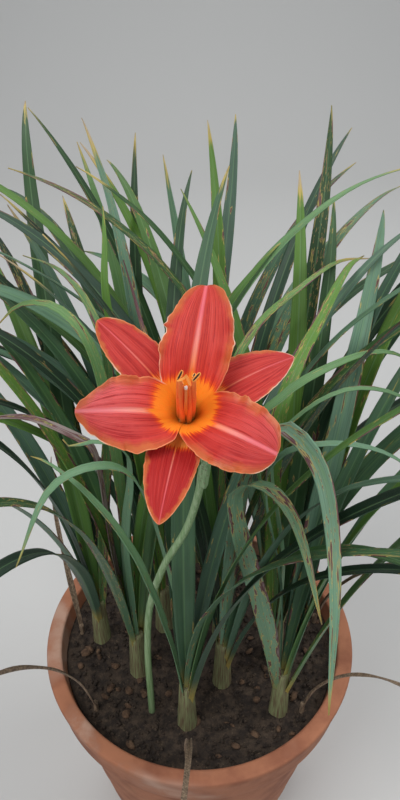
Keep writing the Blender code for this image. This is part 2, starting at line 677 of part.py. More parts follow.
def build_pot(parts, cutters, finish):
    inner_top = POT_TOP_RADIUS - POT_WALL
    inner_base = POT_BASE_RADIUS - POT_WALL
    rim_low = POT_HEIGHT - RIM_HEIGHT
    slope = (POT_TOP_RADIUS - POT_BASE_RADIUS) / POT_HEIGHT
    profile = (
        (0.0, POT_FLOOR),
        (inner_base, POT_FLOOR),
        (inner_top, POT_HEIGHT),
        (POT_TOP_RADIUS + RIM_OUT - LIP_ROUND, POT_HEIGHT),
        (POT_TOP_RADIUS + RIM_OUT, POT_HEIGHT - 2 * LIP_ROUND),
        (POT_TOP_RADIUS + RIM_OUT - slope * RIM_HEIGHT, rim_low + LIP_ROUND),
        (POT_BASE_RADIUS + slope * rim_low + LIP_ROUND / 2, rim_low),
        (POT_BASE_RADIUS + slope * rim_low, rim_low - LIP_ROUND),
        (POT_BASE_RADIUS, 0.0),
        (0.0, 0.0),
    )
    pot = turned("pot", profile, parts, finish)
    for index in range(DRAIN_COUNT):
        turn = math.tau * (index + 0.5) / DRAIN_COUNT
        place = (DRAIN_RING * math.cos(turn), DRAIN_RING * math.sin(turn))
        hole = peg("drain_cutter_%d" % index, DRAIN_RADIUS, DRAIN_RADIUS, -CUTTER_SPARE,
                   POT_FLOOR + CUTTER_SPARE, DRAIN_SIDES, place, cutters)
        hole.display_type = "WIRE"
    cut(pot, cutters)
    return pot


def pot_bore(height):
    """Inner radius of the pot at a height."""
    share = (height - POT_FLOOR) / (POT_HEIGHT - POT_FLOOR)
    return POT_BASE_RADIUS - POT_WALL + (POT_TOP_RADIUS - POT_BASE_RADIUS) * share


def build_soil(parts, cutters, finish, pegs):
    """The soil fills the pot, with a plain hole for every stem that stands in it."""
    low = POT_FLOOR + GAP
    side_gap = 1.4 * GAP
    profile = (
        (0.0, SOIL_MIDDLE),
        (SOIL_KNEE, 0.5 * (SOIL_MIDDLE + SOIL_EDGE) + SOIL_CROWN),
        (pot_bore(SOIL_EDGE) - side_gap, SOIL_EDGE),
        (pot_bore(low) - side_gap, low),
        (0.0, low),
    )
    soil = turned("soil", profile, parts, finish)
    for index, (place, radius, depth, sides) in enumerate(pegs):
        wide = hole_radius(radius, sides)
        hole = peg("soil_cutter_%d" % index, wide, wide, soil_height(*place) - depth - GAP,
                   SOIL_MIDDLE + CUTTER_SPARE, sides, place, cutters)
        hole.display_type = "WIRE"
    cut(soil, cutters)
    return soil


def build_fan(index, place, grids, parts, finish):
    """A fan's foot in the soil with all its leaves fused to it."""
    name = FAN_LABEL.format(index + 1)
    ground = soil_height(*place)
    foot = peg(name, STOOL_RADIUS, STOOL_RADIUS, ground - STOOL_DEPTH, ground + STOOL_LAP,
               STOOL_SIDES, place, parts, finish)
    blades = new_collection(name + "_leaves")
    peg(name + "_stool", STOOL_RADIUS - 2 * GAP, STOOL_TOP_RADIUS, ground - STOOL_LAP,
        ground + STOOL_HEIGHT, STOOL_SIDES, place, blades)
    for number, grid in enumerate(grids):
        leaf = add_object("%s_leaf_%d" % (name, number), grid_mesh(name, grid), blades)
        thicken(leaf, BLADE_THICKNESS)
    fuse(foot, blades)
    keep_largest(foot)
    return foot


def build_dry_leaves(parts, finish, obstacles):
    """Withered leaves that rise from pegs near the pot's wall and sag over its rim."""
    draw = random.Random(LEAF_SEED + 1)
    pegs = []
    for index in range(DRY_COUNT):
        turn = math.tau * (index + DRY_START) / DRY_COUNT
        for _ in range(LEAF_TRIES):
            at = turn + draw.uniform(-DRY["place_spread"], DRY["place_spread"])
            place = (DRY_RING * math.cos(at), DRY_RING * math.sin(at))
            ground = soil_height(*place)
            way = at + draw.gauss(0, DRY["way_spread"])
            length = draw.uniform(*DRY["length"])
            bend = math.radians(draw.uniform(*DRY["bend"]))
            drift = math.radians(draw.gauss(0, DRY["drift_spread"]))
            half_width = draw.uniform(*DRY["half_width"])
            roll = math.radians(draw.uniform(-DRY["roll"], DRY["roll"]))
            s = np.linspace(0.0, 1.0, BLADE_STEPS + 1)
            height = math.radians(DRY["rise"]) - bend * s**DRY["bend_power"]
            heading = way + drift * s
            course = np.stack([np.cos(height) * np.cos(heading),
                               np.cos(height) * np.sin(heading), np.sin(height)], axis=1)
            steps = np.cumsum((course[1:] + course[:-1]) / 2, axis=0) * length / BLADE_STEPS
            centre = np.array([*place, ground + DRY["root"]]) + np.vstack([np.zeros(3), steps])
            half = np.maximum(half_width * (1 - s**3)**0.8, BLADE_TIP)
            fold = np.radians(DRY["fold"] + DRY["fold_wave"] * np.sin(DRY["waves"] * s + index))
            grid = blade_grid(centre, heading, roll * s, half, fold)
            tree = shell_tree(grid)
            if stays_in_bounds(centre) and not crosses(tree, obstacles):
                break
        else:
            continue
        name = "dry_leaf_%d" % (index + 1)
        foot = peg(name, DRY_PEG_RADIUS, DRY_PEG_RADIUS * 0.8, ground - DRY_PEG_DEPTH,
                   ground + DRY_PEG_HEIGHT, DRY_PEG_SIDES, place, parts, finish)
        blades = new_collection(name + "_blade")
        leaf = add_object(name + "_sheet", grid_mesh(name, grid), blades)
        thicken(leaf, BLADE_THICKNESS)
        fuse(foot, blades)
        keep_largest(foot)
        obstacles.append(tree)
        pegs.append((place, DRY_PEG_RADIUS, DRY_PEG_DEPTH, DRY_PEG_SIDES))
    return pegs


def build_scape(parts, finish):
    """The flower stem with its bracts and the short stalks of the flower and the buds."""
    fork = np.array(SCAPE_FORK)
    foot = np.array([*SCAPE_FOOT, soil_height(*SCAPE_FOOT) - SCAPE_DEPTH])
    straight = foot + np.array([0.0, 0.0, SCAPE_DEPTH + SCAPE_STRAIGHT])
    route = smooth_route([straight, *(np.array(p) for p in SCAPE_ROUTE), fork], SCAPE_STEPS)
    route = np.vstack([foot, route])
    taper = np.linspace(1.0, SCAPE_TAPER, len(route)) * SCAPE_RADIUS
    mesh = tube_mesh("scape", route, taper, parts, 2)
    scape = add_object("scape", mesh, parts, finish)
    extras = new_collection("scape_parts")
    end = TUBE_PROFILE[-1][1]
    before = flower_point((0.0, 0.0, -end - FLOWER_STALK_DROP))
    stalk = smooth_route([fork - (0, 0, FLOWER_STALK_DROP), fork, before], 5)
    stalk = np.vstack([stalk, flower_point((0.0, 0.0, -end - GAP))])
    mesh = tube_mesh("stalk", stalk, np.linspace(*FLOWER_STALK_RADII, 6), extras)
    add_object("stalk", mesh, extras)
    for name, way, _, _ in BUDS:
        way = np.array(way) / np.linalg.norm(way)
        short = [fork - way * BUD_STALK / 4, fork + way * BUD_STALK / 2, fork + way * BUD_STALK]
        mesh = tube_mesh(name + "_stalk", short, [BUD_STALK_RADIUS] * 3, extras, 0)
        add_object(name + "_stalk", mesh, extras)
    for number, (way, height, length) in enumerate(BRACTS):
        way = math.radians(way)
        s = np.linspace(0.0, 1.0, BRACT_STEPS + 1)
        lean = np.radians(86 - 30 * s**2)
        course = np.stack([np.cos(lean) * math.cos(way), np.cos(lean) * math.sin(way),
                           np.sin(lean)], axis=1)
        start = fork + (BRACT_START * math.cos(way), BRACT_START * math.sin(way), height)
        steps = np.cumsum((course[1:] + course[:-1]) / 2, axis=0) * length / BRACT_STEPS
        centre = start + np.vstack([np.zeros(3), steps])
        half = np.maximum(BRACT_HALF_WIDTH * (0.8 + 0.8 * s) * (1 - s**2)**0.9, BRACT_TIP)
        grid = blade_grid(centre, np.full(len(s), way), np.zeros(len(s)), half,
                          np.radians(48 - 20 * s))
        bract = add_object("bract_%d" % number, grid_mesh("bract", grid), extras)
        thicken(bract, BLADE_THICKNESS)
    fuse(scape, extras)
    keep_largest(scape)
    return scape


def build_buds(parts, finish):
    """Closed buds on the scape's fork: a tube along a line with a swelling radius."""
    fork = np.array(SCAPE_FORK)
    for name, way, length, radius in BUDS:
        way = np.array(way) / np.linalg.norm(way)
        s = np.linspace(0.0, 1.0, BUD_STEPS)
        swell = radius * np.maximum(np.sin(math.pi * (0.10 + 0.86 * s))**0.8, 0.2)
        swell[0] = BUD_STALK_RADIUS - GAP / 2
        start = fork + way * (BUD_STALK + GAP)
        points = start + np.outer(s * length, way) + np.outer(s**2, (0.0, 0.0, BUD_LIFT))
        mesh = tube_mesh(name, points, swell, parts, 1)
        add_object(name, mesh, parts, finish)


def build_tube(parts, finish):
    """The flower's tube: stepped at the mouth for the two whorls of tepals, swollen at the ovary."""
    inner, outer = TUBE_LEDGE_RADII
    profile = (
        (0.0, -GAP),
        (inner, -GAP),
        (inner, -SEPAL_DROP - GAP),
        (outer, -SEPAL_DROP - GAP),
        *((radius, -behind) for radius, behind in TUBE_PROFILE),
        (0.0, -TUBE_PROFILE[-1][1]),
    )
    tube = turned("flower_tube", profile, parts, finish, TUBE_SIDES)
    apply_modifiers(tube)
    right, up, along = flower_frame()
    axes = Matrix((right, up, along)).transposed().to_4x4()
    tube.data.transform(Matrix.Translation(MOUTH) @ axes)
    return tube


def build_tepals(parts, petal_finish, sepal_finish):
    for name, spec in TEPALS.items():
        inner = name.startswith("petal")
        mesh = grid_mesh(name, tepal_grid(spec, inner))
        item = add_object(name, mesh, parts, petal_finish if inner else sepal_finish)
        thicken(item, TEPAL_THICKNESS)


def add_anther(name, tip, way, collection):
    """A small spindle held near its end on a stamen's tip."""
    shape = bmesh.new()
    bmesh.ops.create_uvsphere(shape, u_segments=6, v_segments=5, radius=1.0)
    bmesh.ops.scale(shape, vec=(ANTHER_RADIUS, ANTHER_RADIUS, ANTHER_LENGTH / 2), verts=shape.verts)
    right, up, along = flower_frame()
    way = Vector(right * way[0] + up * way[1] + along * way[2]).normalized()
    centre = Vector(flower_point(tip)) + way * (ANTHER_LENGTH / 2 - ANTHER_HOLD)
    shape.transform(Matrix.Translation(centre) @ way.to_track_quat("Z", "Y").to_matrix().to_4x4())
    add_object(name, mesh_from_bmesh(name, shape), collection)


def build_stamens(parts, finish):
    for index, (turn, tip, way) in enumerate(STAMENS):
        name = "stamen_%d" % (index + 1)
        turn = math.radians(turn)
        base = np.array([FILAMENT_RING * math.cos(turn), FILAMENT_RING * math.sin(turn), GAP])
        top = np.array(tip)
        waist = (base + top) / 2 + FILAMENT_SAG + FILAMENT_BOW * top * (1, 1, 0)
        route = [flower_point(p) for p in smooth_route([base, waist, top], FILAMENT_STEPS)]
        mesh = tube_mesh(name, route, [FILAMENT_RADIUS] * FILAMENT_STEPS, parts, 0)
        stamen = add_object(name, mesh, parts, finish)
        extras = new_collection(name + "_anther")
        add_anther(name + "_head", tip, way, extras)
        fuse(stamen, extras)
        keep_largest(stamen)


def build_pistil(parts, finish):
    base = np.array([0.0, 0.0, GAP])
    top = np.array(PISTIL_TIP)
    waist = (base + top) / 2 + FILAMENT_SAG
    route = [flower_point(p) for p in smooth_route([base, waist, top], PISTIL_STEPS)]
    radii = [PISTIL_RADII[0]] * (PISTIL_STEPS - 1) + [PISTIL_RADII[1]]
    add_object("pistil", tube_mesh("pistil", route, radii, parts, 1), parts, finish)


def main():
    clear_scene()
    parts = new_collection(NAME)
    pot_cutters = new_collection("pot_cutters", cutters=True)
    soil_cutters = new_collection("soil_cutters", cutters=True)

    clay = material("clay", (0.52, 0.24, 0.14), 0.85)
    earth = material("soil", (0.055, 0.038, 0.026), 0.95)
    leaf = material("leaf", (0.105, 0.200, 0.085), 0.50)
    dry = material("dry_leaf", (0.300, 0.205, 0.120), 0.80)
    stem = material("stem", (0.220, 0.330, 0.130), 0.50)
    petal = material("petal", (0.600, 0.065, 0.050), 0.55)
    sepal = material("sepal", (0.620, 0.090, 0.065), 0.55)
    throat = material("flower_tube", (0.640, 0.300, 0.050), 0.55)
    stamen = material("stamen", (0.560, 0.110, 0.035), 0.55)
    pistil = material("pistil", (0.700, 0.230, 0.060), 0.55)

    build_tepals(parts, petal, sepal)
    build_tube(parts, throat)
    build_stamens(parts, stamen)
    build_pistil(parts, pistil)
    build_scape(parts, stem)
    build_buds(parts, sepal)
    build_pot(parts, pot_cutters, clay)

    obstacles = [object_tree(item) for item in parts.objects]
    blades = grow_leaves(obstacles)
    places = fan_places()
    for index, grids in blades.items():
        build_fan(index, places[index], grids, parts, leaf)
    grown = obstacles + [object_tree(item) for item in parts.objects if item.name.startswith("fan")]
    pegs = build_dry_leaves(parts, dry, grown)
    pegs += [(place, STOOL_RADIUS, STOOL_DEPTH, STOOL_SIDES) for place in places]
    pegs.append((SCAPE_FOOT, SCAPE_RADIUS, SCAPE_DEPTH, SCAPE_SIDES))
    build_soil(parts, soil_cutters, earth, pegs)
    print("leaves in each fan:", [len(grids) for grids in blades.values()])


main()
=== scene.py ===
import math
import random

import bmesh
import bpy
import numpy as np
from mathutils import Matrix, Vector
from mathutils.bvhtree import BVHTree


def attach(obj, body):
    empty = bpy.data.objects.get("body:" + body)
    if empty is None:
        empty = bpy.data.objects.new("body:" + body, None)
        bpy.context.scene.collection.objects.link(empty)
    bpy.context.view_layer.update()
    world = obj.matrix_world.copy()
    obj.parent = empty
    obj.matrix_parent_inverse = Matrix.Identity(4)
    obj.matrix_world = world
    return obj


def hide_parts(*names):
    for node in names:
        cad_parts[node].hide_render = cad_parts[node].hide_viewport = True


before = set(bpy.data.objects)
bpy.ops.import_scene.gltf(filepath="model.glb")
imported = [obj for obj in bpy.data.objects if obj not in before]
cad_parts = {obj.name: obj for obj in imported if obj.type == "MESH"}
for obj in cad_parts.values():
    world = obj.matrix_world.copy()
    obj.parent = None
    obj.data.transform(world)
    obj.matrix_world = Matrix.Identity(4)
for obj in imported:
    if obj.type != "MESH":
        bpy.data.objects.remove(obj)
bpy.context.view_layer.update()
tau = math.tau
print("frame loaded:", len(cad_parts), "nodes")

# camera: looks along +Y and down at the flower's mouth, from the height the photo was taken at
cameraSet = dict(
    place=(0.0004, -0.4598, 0.9082),
    down=38.0,           # degrees below the horizon
    focal=759.0,         # in pixels of the 800 px long side
    longSide=800.0,
    sensor=36.0,
)

# flower: the middle of its mouth and the rise of its axis, which leans towards -Y
flowerSet = dict(
    mouth=(-0.007, -0.150, 0.655),
    rise=60.6,
    petalRing=0.0046,
    sepalRing=0.0062,
    sepalDrop=0.001,
    petalHug=1.14,       # half angle that a blade takes up in the throat, radians: neighbours lap
    sepalHug=0.90,
)


# numpy helpers

def unit(a):
    return a / (np.linalg.norm(a, axis=-1, keepdims=True) + 1e-12)


def smoothstep(low, high, x):
    u = np.clip((x - low) / (high - low), 0.0, 1.0)
    return u * u * (3 - 2 * u)


# wrinkled heights: sums of sines at turned directions, each with its own phase from the generator
def rippleField(x, y, rng, scale, octaves=4):
    total = np.zeros_like(x)
    for octave in range(octaves):
        for _ in range(5):
            turn = rng.uniform(0, tau)
            wave = scale * 2**octave * rng.uniform(0.7, 1.3)
            total += (np.sin((x * math.cos(turn) + y * math.sin(turn)) * wave + rng.uniform(0, tau))
                      / (5 * 1.7**octave))
    return total


# gathers surfaces for one piece: vertices, quads, triangles and named numbers for each vertex; the
# piece rides on the body and, where a node is given, stands for that node
class Gather:
    def __init__(self):
        self.verts, self.quads, self.tris, self.values, self.count = [], [], [], {}, 0

    def add(self, verts, quads=None, tris=None, **values):
        if quads is not None and len(quads):
            self.quads.append(np.asarray(quads) + self.count)
        if tris is not None and len(tris):
            self.tris.append(np.asarray(tris) + self.count)
        for name, value in values.items():
            rows = self.values.setdefault(name, [])
            missing = self.count - sum(len(r) for r in rows)
            if missing:
                rows.append(np.zeros(missing))
            rows.append(np.broadcast_to(np.asarray(value, float), (len(verts),)).copy())
        self.verts.append(verts)
        self.count += len(verts)

    def piece(self, name, finish, slot, node=None):
        verts = np.concatenate(self.verts)
        quads = np.concatenate(self.quads) if self.quads else np.zeros((0, 4), int)
        tris = np.concatenate(self.tris) if self.tris else np.zeros((0, 3), int)
        loops = np.concatenate([quads.ravel(), tris.ravel()])
        totals = np.concatenate([np.full(len(quads), 4), np.full(len(tris), 3)])
        starts = np.concatenate([[0], np.cumsum(totals)[:-1]])
        mesh = bpy.data.meshes.new(name)
        mesh.vertices.add(len(verts))
        mesh.vertices.foreach_set("co", verts.astype(np.float32).ravel())
        mesh.loops.add(len(loops))
        mesh.loops.foreach_set("vertex_index", loops.astype(np.int32))
        mesh.polygons.add(len(totals))
        mesh.polygons.foreach_set("loop_start", starts.astype(np.int32))
        mesh.polygons.foreach_set("loop_total", totals.astype(np.int32))
        mesh.polygons.foreach_set("use_smooth", np.ones(len(totals), bool))
        for label, rows in self.values.items():
            value = np.concatenate(rows)
            value = np.concatenate([value, np.zeros(len(verts) - len(value))])
            layer = mesh.attributes.new(label, "FLOAT", "POINT")
            layer.data.foreach_set("value", value.astype(np.float32))
        mesh.update(calc_edges=True)
        mesh.validate()
        mesh.materials.append(finish)
        piece = bpy.data.objects.new(name, mesh)
        bpy.context.scene.collection.objects.link(piece)
        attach(piece, "root")
        if node:
            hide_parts(node)
        return piece


# a closed blade from a grid of places: the grid pushed half its thickness to each side along the
# surface's own normals, the two sheets joined round the border
def addSheet(gather, grid, thick, **values):
    rows, cols = grid.shape[:2]
    normal = unit(np.cross(np.gradient(grid, axis=1), np.gradient(grid, axis=0)))
    half = np.broadcast_to(np.asarray(thick, float) / 2, (rows, cols))[..., None]
    top = (grid + normal * half).reshape(-1, 3)
    low = (grid - normal * half).reshape(-1, 3)
    index = np.arange(rows * cols).reshape(rows, cols)
    face = np.stack([index[:-1, :-1], index[:-1, 1:], index[1:, 1:], index[1:, :-1]], -1)
    face = face.reshape(-1, 4)
    border = np.concatenate([index[0, :-1], index[:-1, -1], index[-1, :0:-1], index[:0:-1, 0]])
    after = np.roll(border, -1)
    shift = rows * cols
    rim = np.stack([border, border + shift, after + shift, after], -1)
    quads = np.concatenate([face, face[:, ::-1] + shift, rim])
    both = {k: np.tile(np.broadcast_to(v, (rows, cols)).ravel(), 2) for k, v in values.items()}
    side = np.concatenate([np.zeros(shift), np.ones(shift)])
    gather.add(np.concatenate([top, low]), quads, side=side, **both)


# a tube: a ring carried along a path, turned with it so that it doesn't twist; both ends closed
def addTube(gather, path, radii, sides=10, lobes=None, **values):
    path = np.asarray(path, float)
    course = unit(np.gradient(path, axis=0))
    first = np.cross(course[0], (0.0, 0.0, 1.0) if abs(course[0][2]) < 0.9 else (1.0, 0.0, 0.0))
    across = [unit(first)]
    for step in course[1:]:
        across.append(unit(across[-1] - step * (across[-1] @ step)))
    across = np.array(across)
    other = np.cross(course, across)
    turn = np.linspace(0, tau, sides, endpoint=False)
    radii = np.broadcast_to(np.asarray(radii, float), (len(path),))
    ring = np.ones((len(path), sides)) * radii[:, None]
    if lobes is not None:
        ring = ring * lobes(np.linspace(0, 1, len(path))[:, None], turn[None, :])
    places = (path[:, None] + across[:, None] * (ring * np.cos(turn))[..., None]
              + other[:, None] * (ring * np.sin(turn))[..., None])
    count = len(path)
    index = np.arange(count * sides).reshape(count, sides)
    after = np.roll(index, -1, axis=1)
    quads = np.stack([index[:-1], after[:-1], after[1:], index[1:]], -1).reshape(-1, 4)
    ends = np.array([path[0], path[-1]])
    low, high = count * sides, count * sides + 1
    tris = np.concatenate([
        np.stack([np.full(sides, low), after[0], index[0]], -1),
        np.stack([np.full(sides, high), index[-1], after[-1]], -1)])
    along = np.concatenate([np.repeat(np.linspace(0, 1, count), sides), [0.0, 1.0]])
    gather.add(np.concatenate([places.reshape(-1, 3), ends]), quads, tris, along=along, **values)


# unit steps from heights above the horizon and headings, in radians
def headings(height, way):
    return np.stack([np.cos(height) * np.cos(way), np.cos(height) * np.sin(way), np.sin(height)], 1)


# the line that is walked from a start along unit steps, over a length
def walk(start, course, length):
    steps = np.cumsum((course[1:] + course[:-1]) / 2, axis=0) * length / (len(course) - 1)
    return start + np.vstack([np.zeros(3), steps])


# rings round the Z axis from radii, turns and heights
def ringPlaces(radius, turn, height):
    return np.stack(np.broadcast_arrays(radius * np.cos(turn), radius * np.sin(turn), height), -1)


# a turned form: rings of places from the top or the inside to the bottom or the outside, each end
# closed round a point
def addTurned(gather, places, first, last, **values):
    count, sides = places.shape[:2]
    index = np.arange(count * sides).reshape(count, sides)
    after = np.roll(index, -1, axis=1)
    quads = np.stack([index[:-1], index[1:], after[1:], after[:-1]], -1).reshape(-1, 4)
    low, high = count * sides, count * sides + 1
    tris = np.concatenate([np.stack([np.full(sides, low), index[0], after[0]], -1),
                           np.stack([np.full(sides, high), after[-1], index[-1]], -1)])
    gather.add(np.vstack([places.reshape(-1, 3), first, last]), quads, tris, **values)


# points at even steps of a Catmull-Rom curve through the given ones
def smoothRoute(points, count):
    points = [np.asarray(p, float) for p in points]
    ends = [2 * points[0] - points[1], *points, 2 * points[-1] - points[-2]]
    dense = []
    for a, b, c, d in zip(ends, ends[1:], ends[2:], ends[3:]):
        t = np.linspace(0.0, 1.0, 16, endpoint=False)[:, None]
        dense.append(0.5 * (2 * b + (c - a) * t + (2 * a - 5 * b + 4 * c - d) * t**2
                            + (3 * b - a - 3 * c + d) * t**3))
    dense = np.vstack([*dense, points[-1][None]])
    run = np.concatenate([[0.0], np.cumsum(np.linalg.norm(np.diff(dense, axis=0), axis=1))])
    want = np.linspace(0.0, run[-1], count)
    return np.stack([np.interp(want, run, dense[:, k]) for k in range(3)], axis=1)


# node helpers: each returns an output socket, so that a finish reads as one sum

class Finish:
    def __init__(self, name):
        self.material = bpy.data.materials.new(name)
        self.material.use_nodes = True
        self.tree = self.material.node_tree
        self.shader = self.tree.nodes["Principled BSDF"]

    def node(self, kind, **settings):
        made = self.tree.nodes.new(kind)
        for key, value in settings.items():
            setattr(made, key, value)
        return made

    def plug(self, socket, value):
        if isinstance(value, bpy.types.NodeSocket):
            self.tree.links.new(value, socket)
        elif isinstance(value, tuple) and len(value) == 3 and socket.type == "RGBA":
            socket.default_value = (*value, 1.0)
        else:
            socket.default_value = value

    def value(self, name):
        return self.node("ShaderNodeAttribute", attribute_name=name).outputs["Fac"]

    def math(self, operation, a, b=0.0, clamp=False):
        made = self.node("ShaderNodeMath", operation=operation, use_clamp=clamp)
        self.plug(made.inputs[0], a)
        self.plug(made.inputs[1], b)
        return made.outputs[0]

    def times(self, a, b, clamp=False):
        return self.math("MULTIPLY", a, b, clamp)

    def plus(self, a, b):
        return self.math("ADD", a, b)

    def minus(self, a, b):
        return self.math("SUBTRACT", a, b)

    # a noise moved to swing about nought, by half of the reach to each side
    def swing(self, a, reach):
        return self.times(self.minus(a, 0.5), reach)

    def step(self, low, high, x):
        made = self.node("ShaderNodeMapRange", interpolation_type="SMOOTHSTEP")
        for key, value in (("Value", x), ("From Min", low), ("From Max", high)):
            self.plug(made.inputs[key], value)
        return made.outputs["Result"]

    def vector(self, x, y, z=0.0):
        made = self.node("ShaderNodeCombineXYZ")
        for socket, value in zip(made.inputs, (x, y, z)):
            self.plug(socket, value)
        return made.outputs[0]

    def place(self):
        return self.node("ShaderNodeTexCoord").outputs["Object"]

    def noise(self, where, scale=1.0, detail=2.0, rough=0.5, twist=0.0):
        made = self.node("ShaderNodeTexNoise")
        for key, value in (("Vector", where), ("Scale", scale), ("Detail", detail),
                           ("Roughness", rough), ("Distortion", twist)):
            self.plug(made.inputs[key], value)
        return made.outputs["Fac"]

    # noise stretched along a blade: so many waves across it and so many along it
    def streaks(self, x, acrossWaves, y, alongWaves, seed, **how):
        where = self.vector(self.times(x, acrossWaves), self.times(y, alongWaves), seed)
        return self.noise(where, **how)

    def mix(self, share, a, b, blend="MIX"):
        made = self.node("ShaderNodeMix", data_type="RGBA", blend_type=blend)
        self.plug(made.inputs["Factor"], share)
        self.plug(made.inputs["A"], a)
        self.plug(made.inputs["B"], b)
        return made.outputs["Result"]

    # hues laid over a ground one after another: each by a step over a value, times a share
    def layers(self, ground, look, rows):
        for hue, low, high, by, share in rows:
            over = self.step(low, high, by)
            ground = self.mix(over if share == 1 else self.times(over, share), ground, look[hue])
        return ground

    def bump(self, height, strength, distance):
        made = self.node("ShaderNodeBump")
        self.plug(made.inputs["Height"], height)
        self.plug(made.inputs["Strength"], strength)
        self.plug(made.inputs["Distance"], distance)
        self.tree.links.new(made.outputs[0], self.shader.inputs["Normal"])

    def done(self, colour, rough, **sockets):
        self.plug(self.shader.inputs["Base Color"], colour)
        self.plug(self.shader.inputs["Roughness"], rough)
        for key, value in sockets.items():
            self.plug(self.shader.inputs[key.replace("_", " ")], value)
        return self.material


# petal finish, layer by layer: a red ground in lengthwise bands and broken veins, read on (lane,
# along), its lighter pink streaks partly painted sheen; a pink tip blush with painted light on the
# lit side, and painted shade on blades and halves in shade; tan towards the margins; a pale rib
# with a painted highlight; a thin pale lip, cream in places; the orange eye where the distance from
# the flower's axis is small, its border pulled out along the veins; the sepals' salmon eye is
# lightened as painted light, and dark olive deep in the throat is partly painted shade
petalLook = dict(
    red=(0.600, 0.040, 0.020),
    deep=(0.330, 0.008, 0.010),
    # lighter pink streaks between the veins, partly painted sheen
    pinkAndPaintedSheen=(0.740, 0.085, 0.070),
    tipPink=(0.960, 0.190, 0.200),
    orange=(0.960, 0.285, 0.022),
    # the sepals' salmon-orange throat, lightened as painted light
    salmonAndPaintedLight=(1.000, 0.350, 0.065),
    glow=(0.930, 0.120, 0.008),
    # the throat's green, darkened as painted shade
    oliveAndPaintedShade=(0.330, 0.150, 0.012),
    tan=(0.560, 0.150, 0.040),
    tanPale=(0.640, 0.290, 0.130),
    cream=(0.880, 0.640, 0.500),
    lip=(0.860, 0.330, 0.150),
    ribPale=(0.940, 0.310, 0.260),
    ribPink=(0.880, 0.165, 0.210),
    # painted highlight for the rib
    ribPaintedHighlight=(1.000, 0.500, 0.450),
    ribOrange=(0.980, 0.280, 0.040),
    back=(0.700, 0.150, 0.050),
)


def makePetalFinish(name, ribWidth, ribStrength, tanReach, eye, eyeHue, oliveShare):
    look = petalLook
    f = Finish(name)
    lane, along, radial = f.value("lane"), f.value("along"), f.value("radial")
    edge, rib, seed, side = f.value("edge"), f.value("rib"), f.value("seed"), f.value("side")
    blush, shade = f.value("blush"), f.value("shade")
    patch = f.noise(f.place(), 95.0, 3.0, 0.6)
    spell = f.noise(f.place(), 48.0, 1.0)
    lane = f.plus(lane, f.swing(patch, 0.05))
    bands = f.streaks(lane, 5.0, along, 1.1, seed, detail=2.0)
    veins = f.streaks(lane, 27.0, along, 1.0, seed, detail=2.0, rough=0.6)
    fine = f.streaks(lane, 75.0, along, 3.0, seed, detail=2.0, rough=0.6)
    grain = f.noise(f.place(), 1500.0, 2.0)
    broken = f.plus(0.20, f.times(f.step(0.36, 0.60, patch), 0.50))
    # painted light: tipPink mixed in towards the tip by the blush share, partly the tepal's own
    # pink tip and partly light painted on the tip and on the lit side of a petal
    red = f.layers(look["red"], look, (("deep", 0.46, 0.66, bands, 0.32),
                                       ("pinkAndPaintedSheen", 0.52, 0.36, bands, 0.45),
                                       ("tipPink", 0.15, 0.95, along, blush)))
    # painted shade: the red darkened towards deep crimson by each blade's shade share, most on the
    # sepals and on the half of a petal that lies in shade
    red = f.mix(shade, red, look["deep"])
    # the pink streaks between the veins, here and in the bands above, are partly painted sheen
    red = f.layers(red, look, (("deep", 0.49, 0.62, veins, broken),
                               ("pinkAndPaintedSheen", 0.46, 0.34, veins, 0.30),
                               ("deep", 0.52, 0.64, fine, 0.45)))
    # freckled tan
    near = f.plus(edge, f.swing(patch, 9.0))
    near = f.plus(near, f.swing(spell, 6.0))
    tanShare = f.times(f.step(tanReach, 0.3, near), f.step(0.25, 0.5, along))
    tanHue = f.mix(f.step(0.54, 0.66, patch), look["tan"], look["tanPale"])
    red = f.mix(f.times(tanShare, 0.75), red, tanHue)
    # the rib narrows and turns pink towards the tip, orange towards the throat, and takes a painted
    # highlight where the blush share paints light
    taper = f.minus(1.0, f.times(along, 0.5))
    ribHalf = f.times(taper, ribWidth)
    ribShare = f.step(ribHalf, f.times(ribHalf, 0.15), rib)
    ribHue = f.layers(look["ribOrange"], look, (("ribPale", 0.25, 0.60, along, 1),
                                                ("ribPink", 0.55, 0.80, along, 1),
                                                ("red", 0.50, 0.66, veins, 0.25)))
    ribHue = f.mix(f.times(blush, 0.35), ribHue, look["ribPaintedHighlight"])
    red = f.mix(f.times(ribShare, ribStrength), red, ribHue)
    # the lip goes on before the eye, which is dark olive deep in the throat: partly the throat's
    # own green, partly painted shade
    pulled = f.plus(radial, f.swing(veins, 8.0))
    pulled = f.plus(pulled, f.swing(fine, 5.0))
    pulled = f.minus(pulled, f.times(ribShare, 2.5))
    red = f.mix(f.times(f.step(eye + 3.0, eye - 1.0, pulled), 0.85), red, look["glow"])
    lip = f.plus(edge, f.swing(patch, 1.6))
    lipShare = f.times(f.step(0.75, 0.15, lip), f.step(0.53, 0.66, spell))
    red = f.mix(f.times(f.step(0.65, 0.10, lip), 0.60), red, look["lip"])
    red = f.mix(f.times(lipShare, 0.85), red, look["cream"])
    colour = f.mix(f.step(eye + 0.6, eye - 1.4, pulled), red, look[eyeHue])
    # painted shade: dark olive close to the axis, partly the green throat and partly shade deep in
    # the throat
    colour = f.mix(f.times(f.step(11.5, 5.0, radial), oliveShare), colour, look["oliveAndPaintedShade"])
    colour = f.mix(f.times(side, 0.60), colour, look["back"])
    height = f.plus(f.times(veins, 1.0), f.times(fine, 0.35))
    height = f.plus(height, f.times(grain, 0.05))
    f.bump(height, 0.60, 0.0006)
    rough = f.plus(0.44, f.times(grain, 0.14))
    return f.done(colour, rough, Specular_IOR_Level=0.22, Subsurface_Weight=0.25,
                  Subsurface_Scale=0.0015)


